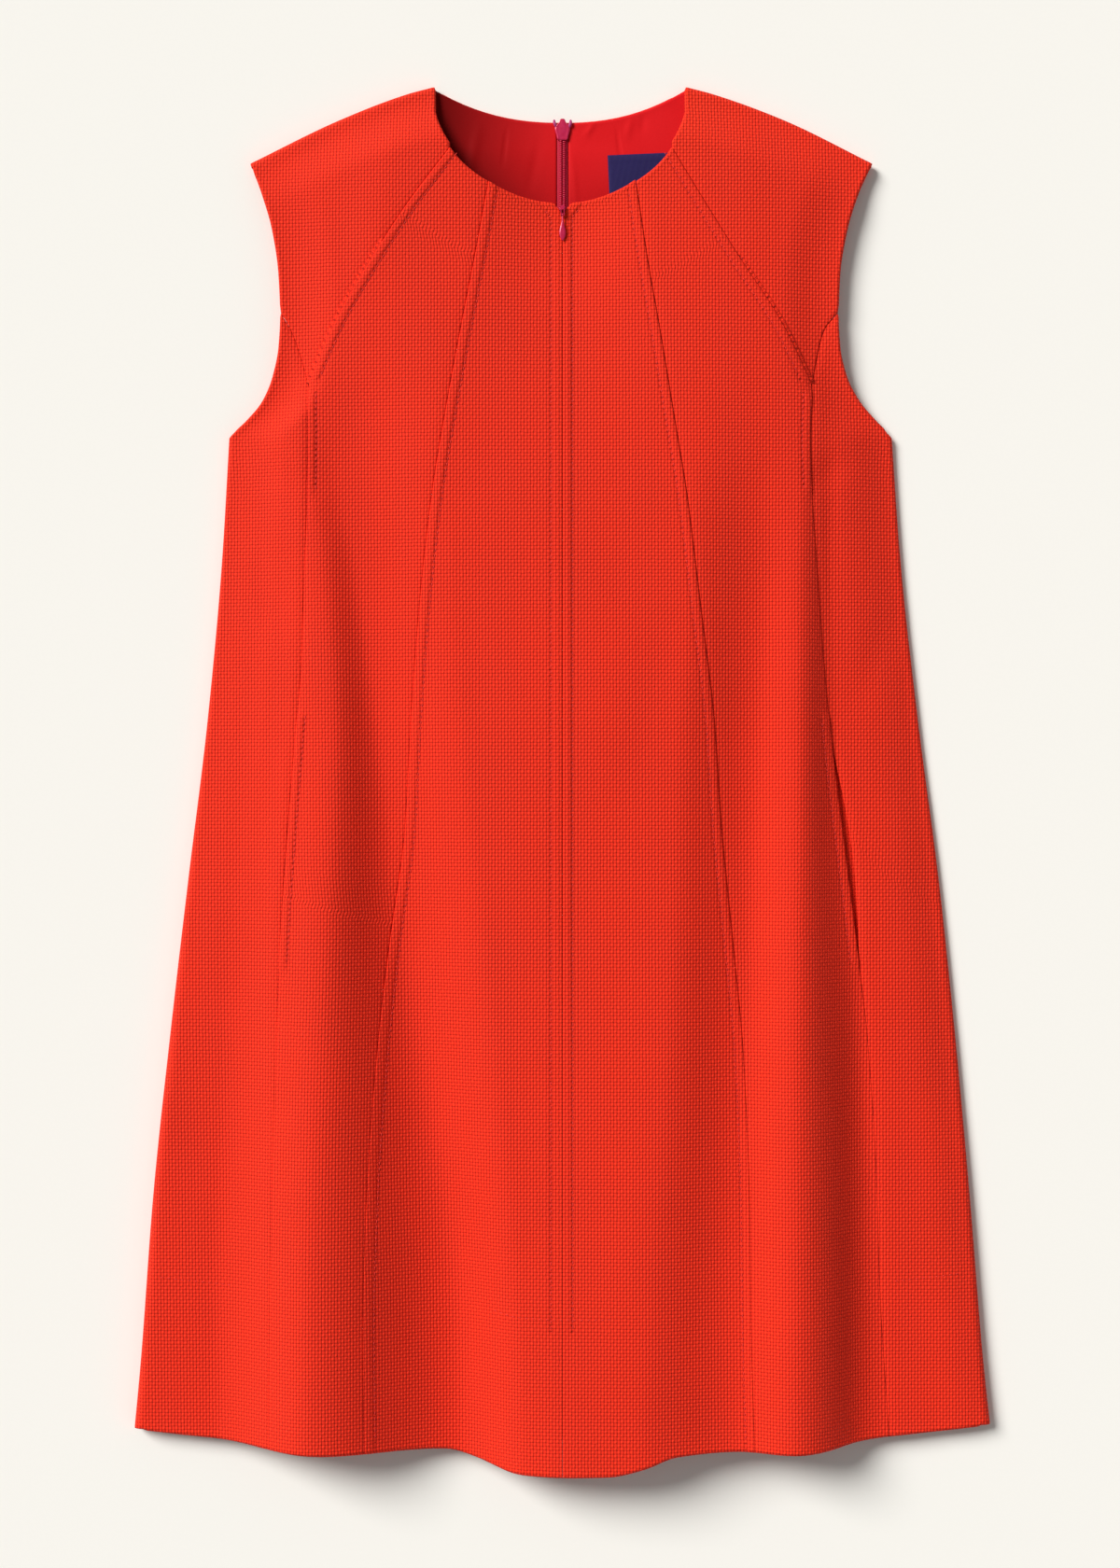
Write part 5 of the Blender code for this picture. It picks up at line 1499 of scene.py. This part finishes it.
    def coil(self) -> None:
        """Two rows of coil teeth, each a squashed bead, meshing down the centre."""
        first = self.slider_top + self.slider_length + 0.3
        count = int((self.zip_length - 20.0) / self.tooth_pitch)
        base = CLOTH + LAYER_GAP + self.tape_wall + LAYER_GAP + 0.62
        turn = np.linspace(0.0, math.tau, 8, endpoint=False)
        share = np.linspace(-1.0, 1.0, 5)
        girth = np.sqrt(1.04 - share**2)
        bead = np.stack([np.broadcast_to(1.05 * share[:, None], (5, 8)),
                         0.5 * girth[:, None] * np.cos(turn), 0.58 * girth[:, None] * np.sin(turn)], axis=-1)
        middles = []
        for side in Side:
            drop = first + (np.arange(count) + 0.25 * (1 + side.value)) * self.tooth_pitch
            middles.append(np.stack([np.full(count, side.value * 1.08), drop, np.full(count, base)], axis=1))
        places = np.concatenate(middles)
        faces = repeated(tube_faces(5, 8), len(places))
        closed_piece("back_zip_teeth", places[:, None, None] + bead, faces, self.looks.coil,
                     "back_zip_coil")
        LOG.info("back_zip_coil: %d teeth", len(places))

    def slider(self) -> None:
        """Slider body seen from inside: a waisted plate with a crowned top and a raised bridge."""
        share = np.concatenate([[0.0, 0.03], np.linspace(0.07, 0.96, 24), [0.985, 1.0]])
        even = np.linspace(0.0, 1.0, len(self.slider_outline))
        half = self.slider_half * smooth(share, even, self.slider_outline)
        inset = np.minimum(1.0, 0.55 + 0.45 * np.sqrt(np.minimum(share, 1 - share) / 0.06))
        turn = np.linspace(0.0, math.tau, 36, endpoint=False)
        square, rise = rounded(np.cos(turn), 0.45), rounded(np.sin(turn), 0.55)
        x = half[:, None] * inset[:, None] * square
        bridge = 0.45 * bump(x, 1.1) * bump(share[:, None] - 0.42, 0.3) * (rise > 0)
        rim = 0.18 * bump(np.abs(square) - 0.8, 0.14) * (rise > 0) * (share[:, None] > 0.1)
        slot = -0.25 * bump(x, 0.5) * bump(share[:, None] - 0.86, 0.08) * (rise > 0)
        base = CLOTH + LAYER_GAP + self.tape_wall + LAYER_GAP + self.slider_wall / 2
        z = base + self.slider_wall / 2 * rise * inset[:, None] + bridge + rim + slot
        drop = self.slider_top + self.slider_length * np.broadcast_to(share[:, None], x.shape)
        closed_piece("back_zip_slider_body", np.stack([x, drop, z], axis=-1), tube_faces(*x.shape),
                     self.looks.enamel, "back_zip_slider")


@dataclass
class FrontZip:
    """Concealed front zip: tape behind the opening, slider nose and teardrop pull."""

    looks: Finishes
    first: float = 85.8
    last: float = 360.0
    half: float = 7.0
    pin: tuple[float, float] = (83.2, 14.2)  # drop and height of the pin that the pull turns on
    eye: tuple[float, float] = (0.78, 0.19)  # radii of the pull's ring
    # Columns: distance below the pin, half width, half thickness.
    pull_rows: tuple[tuple[float, float, float], ...] = (
        (0.7, 0.36, 0.24), (1.2, 0.50, 0.36), (2.6, 0.55, 0.42), (5.0, 0.85, 0.46), (7.2, 1.35, 0.52),
        (9.2, 1.85, 0.58), (10.8, 2.05, 0.60), (12.4, 1.95, 0.56), (14.0, 1.50, 0.48), (15.3, 0.85, 0.36),
        (16.0, 0.30, 0.22))

    def pull(self) -> None:
        """Drop-shaped pull, domed on both faces, hanging from a ring round the slider's pin."""
        rows = np.array(self.pull_rows)
        along = np.linspace(rows[0, 0], rows[-1, 0], 60)
        half, thick = (smooth(along, rows[:, 0], rows[:, column])[:, None] for column in (1, 2))
        turn = np.linspace(0.0, math.tau, 32, endpoint=False)
        flat = rounded(np.sin(turn), 0.8)
        drop, height = self.pin
        hollow = 0.12 * bump(half * np.cos(turn) / 0.9, 0.5) * bump(along[:, None] - 10.6, 2.6) * (flat > 0)
        tab = np.stack([half * np.cos(turn), drop + along[:, None] + 0.0 * turn,
                        height + thick * flat - hollow], axis=-1)
        major, minor = self.eye
        around = np.linspace(0.0, math.tau, 33)[:, None]
        reach = major + minor * np.cos(turn)
        ring = np.stack([minor * 2.2 * np.sin(turn) + 0.0 * around, drop + reach * np.cos(around),
                         height + reach * np.sin(around)], axis=-1)
        points = np.concatenate([tab.reshape(-1, 3), ring.reshape(-1, 3)])
        faces = np.concatenate([tube_faces(len(along), 32), tube_faces(33, 32) + tab[..., 0].size])
        closed_piece("front_pull_drop", points, faces, self.looks.enamel, "front_zip_pull", "pull")

    def build(self) -> None:
        """Makes the tape and the pull, and enamels the slider."""
        drops = np.linspace(self.first, self.last, 90)
        across = np.linspace(-self.half, self.half, 17)
        plan = np.stack(np.meshgrid(across, drops), axis=-1)
        points = FRONT.on(plan, np.full(plan.shape[:2], -(CLOTH + LAYER_GAP + 0.35)))
        sheet = Sheet("front_zip_tape", points, grain_map(points, 0.0), wall=0.6)
        sheet.build(self.looks.tape, "zip_tape", ["front_zip_tape"], ["back_left", "back_right"])
        self.pull()
        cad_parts["front_zip_slider"].material_slots[0].material = self.looks.enamel


# ---------------------------------------------------------------- the studio


@dataclass
class Studio:
    """Pale floor, soft key light from the upper left, a weak bounce, even fill and the overhead camera."""

    floor_half: float = 3.0
    floor_under: float = 0.0001  # keeps the floor's face and the back's apart
    camera_at: tuple[float, float, float] = (-0.0016, -0.0052, 1.5)
    lens: float = 54.3
    key_height: float = math.radians(36.0)
    key_from: float = math.radians(142.0)  # where the key light stands, turned from +X towards +Y
    key_strength: float = 4.2
    key_size: float = math.radians(28.0)
    bounce_height: float = math.radians(33.0)
    bounce_from: float = math.radians(318.0)  # a white board beyond the lower right
    bounce_strength: float = 0.2
    bounce_size: float = math.radians(55.0)
    fill: Colour = (0.217, 0.218, 0.222)

    def build(self) -> None:
        """Sets the floor, the lights, the camera and how colours are shown."""
        scene = bpy.context.scene
        corners = np.array([[-1, -1, 0], [1, -1, 0], [1, 1, 0], [-1, 1, 0]]) * self.floor_half
        corners = corners - (0.0, 0.0, self.floor_under)
        floor = mesh_object("floor", corners, np.array([[0, 1, 2, 3]]), Backdrop().make())
        self.light("key", self.key_strength, self.key_size, self.key_height, self.key_from)
        self.light("bounce", self.bounce_strength, self.bounce_size, self.bounce_height, self.bounce_from)
        scene.world = bpy.data.worlds.new("fill")
        scene.world.use_nodes = True
        scene.world.node_tree.nodes["Background"].inputs["Color"].default_value = (*self.fill, 1.0)
        lens = bpy.data.cameras.new("camera")
        lens.lens, lens.sensor_width, lens.clip_start = self.lens, 36.0, 0.01
        camera = bpy.data.objects.new("camera", lens)
        camera.location = self.camera_at
        scene.collection.objects.link(camera)
        scene.camera = camera
        scene.view_settings.view_transform = "Standard"

    @staticmethod
    def light(name: str, strength: float, size: float, height: float, turned: float) -> None:
        """A distant soft light: its strength, its angle across, its height and where it stands."""
        light = bpy.data.lights.new(name, "SUN")
        light.energy, light.angle = strength, size
        lamp = bpy.data.objects.new(name, light)
        lamp.rotation_euler = (0.0, math.pi / 2 - height, turned)
        bpy.context.scene.collection.objects.link(lamp)


HEM_TURN_UP = 98.0
BLIND_STITCHES_IN = 0.22


def hem_rows() -> list[Array]:
    """Lines of the hem's blind stitches, a hand's width above the edge, where they pull the cloth."""
    rows = []
    for start, end in ((-254.0, -206.0), (-44.0, 34.0), (208.0, 254.0)):
        across = np.linspace(start, end, 60)
        plan = np.stack([across, CUT.hem_drop(across) - HEM_TURN_UP], axis=1)
        rows.append(FRONT.on(plan, FRONT.unevenness(plan) - BLIND_STITCHES_IN))
    return rows


def main() -> None:
    """Builds the dress and its studio, piece by piece."""
    logging.basicConfig(level=logging.INFO, format="%(name)s %(message)s")
    Studio().build()
    looks = Finishes()
    shell = Shell(looks)
    shell.build()
    for side in Side:
        shell.allowances(side)
        shell.pocket_bag(side)
    stitching = Stitching(looks)
    stitching.build("topstitching", shell.stitching)
    stitching.build("hem_stitching", hem_rows(), pitch=4.3, proud=0.3)
    NeckInside(looks).build()
    FrontZip(looks).build()


if __name__ == "__main__":
    main()
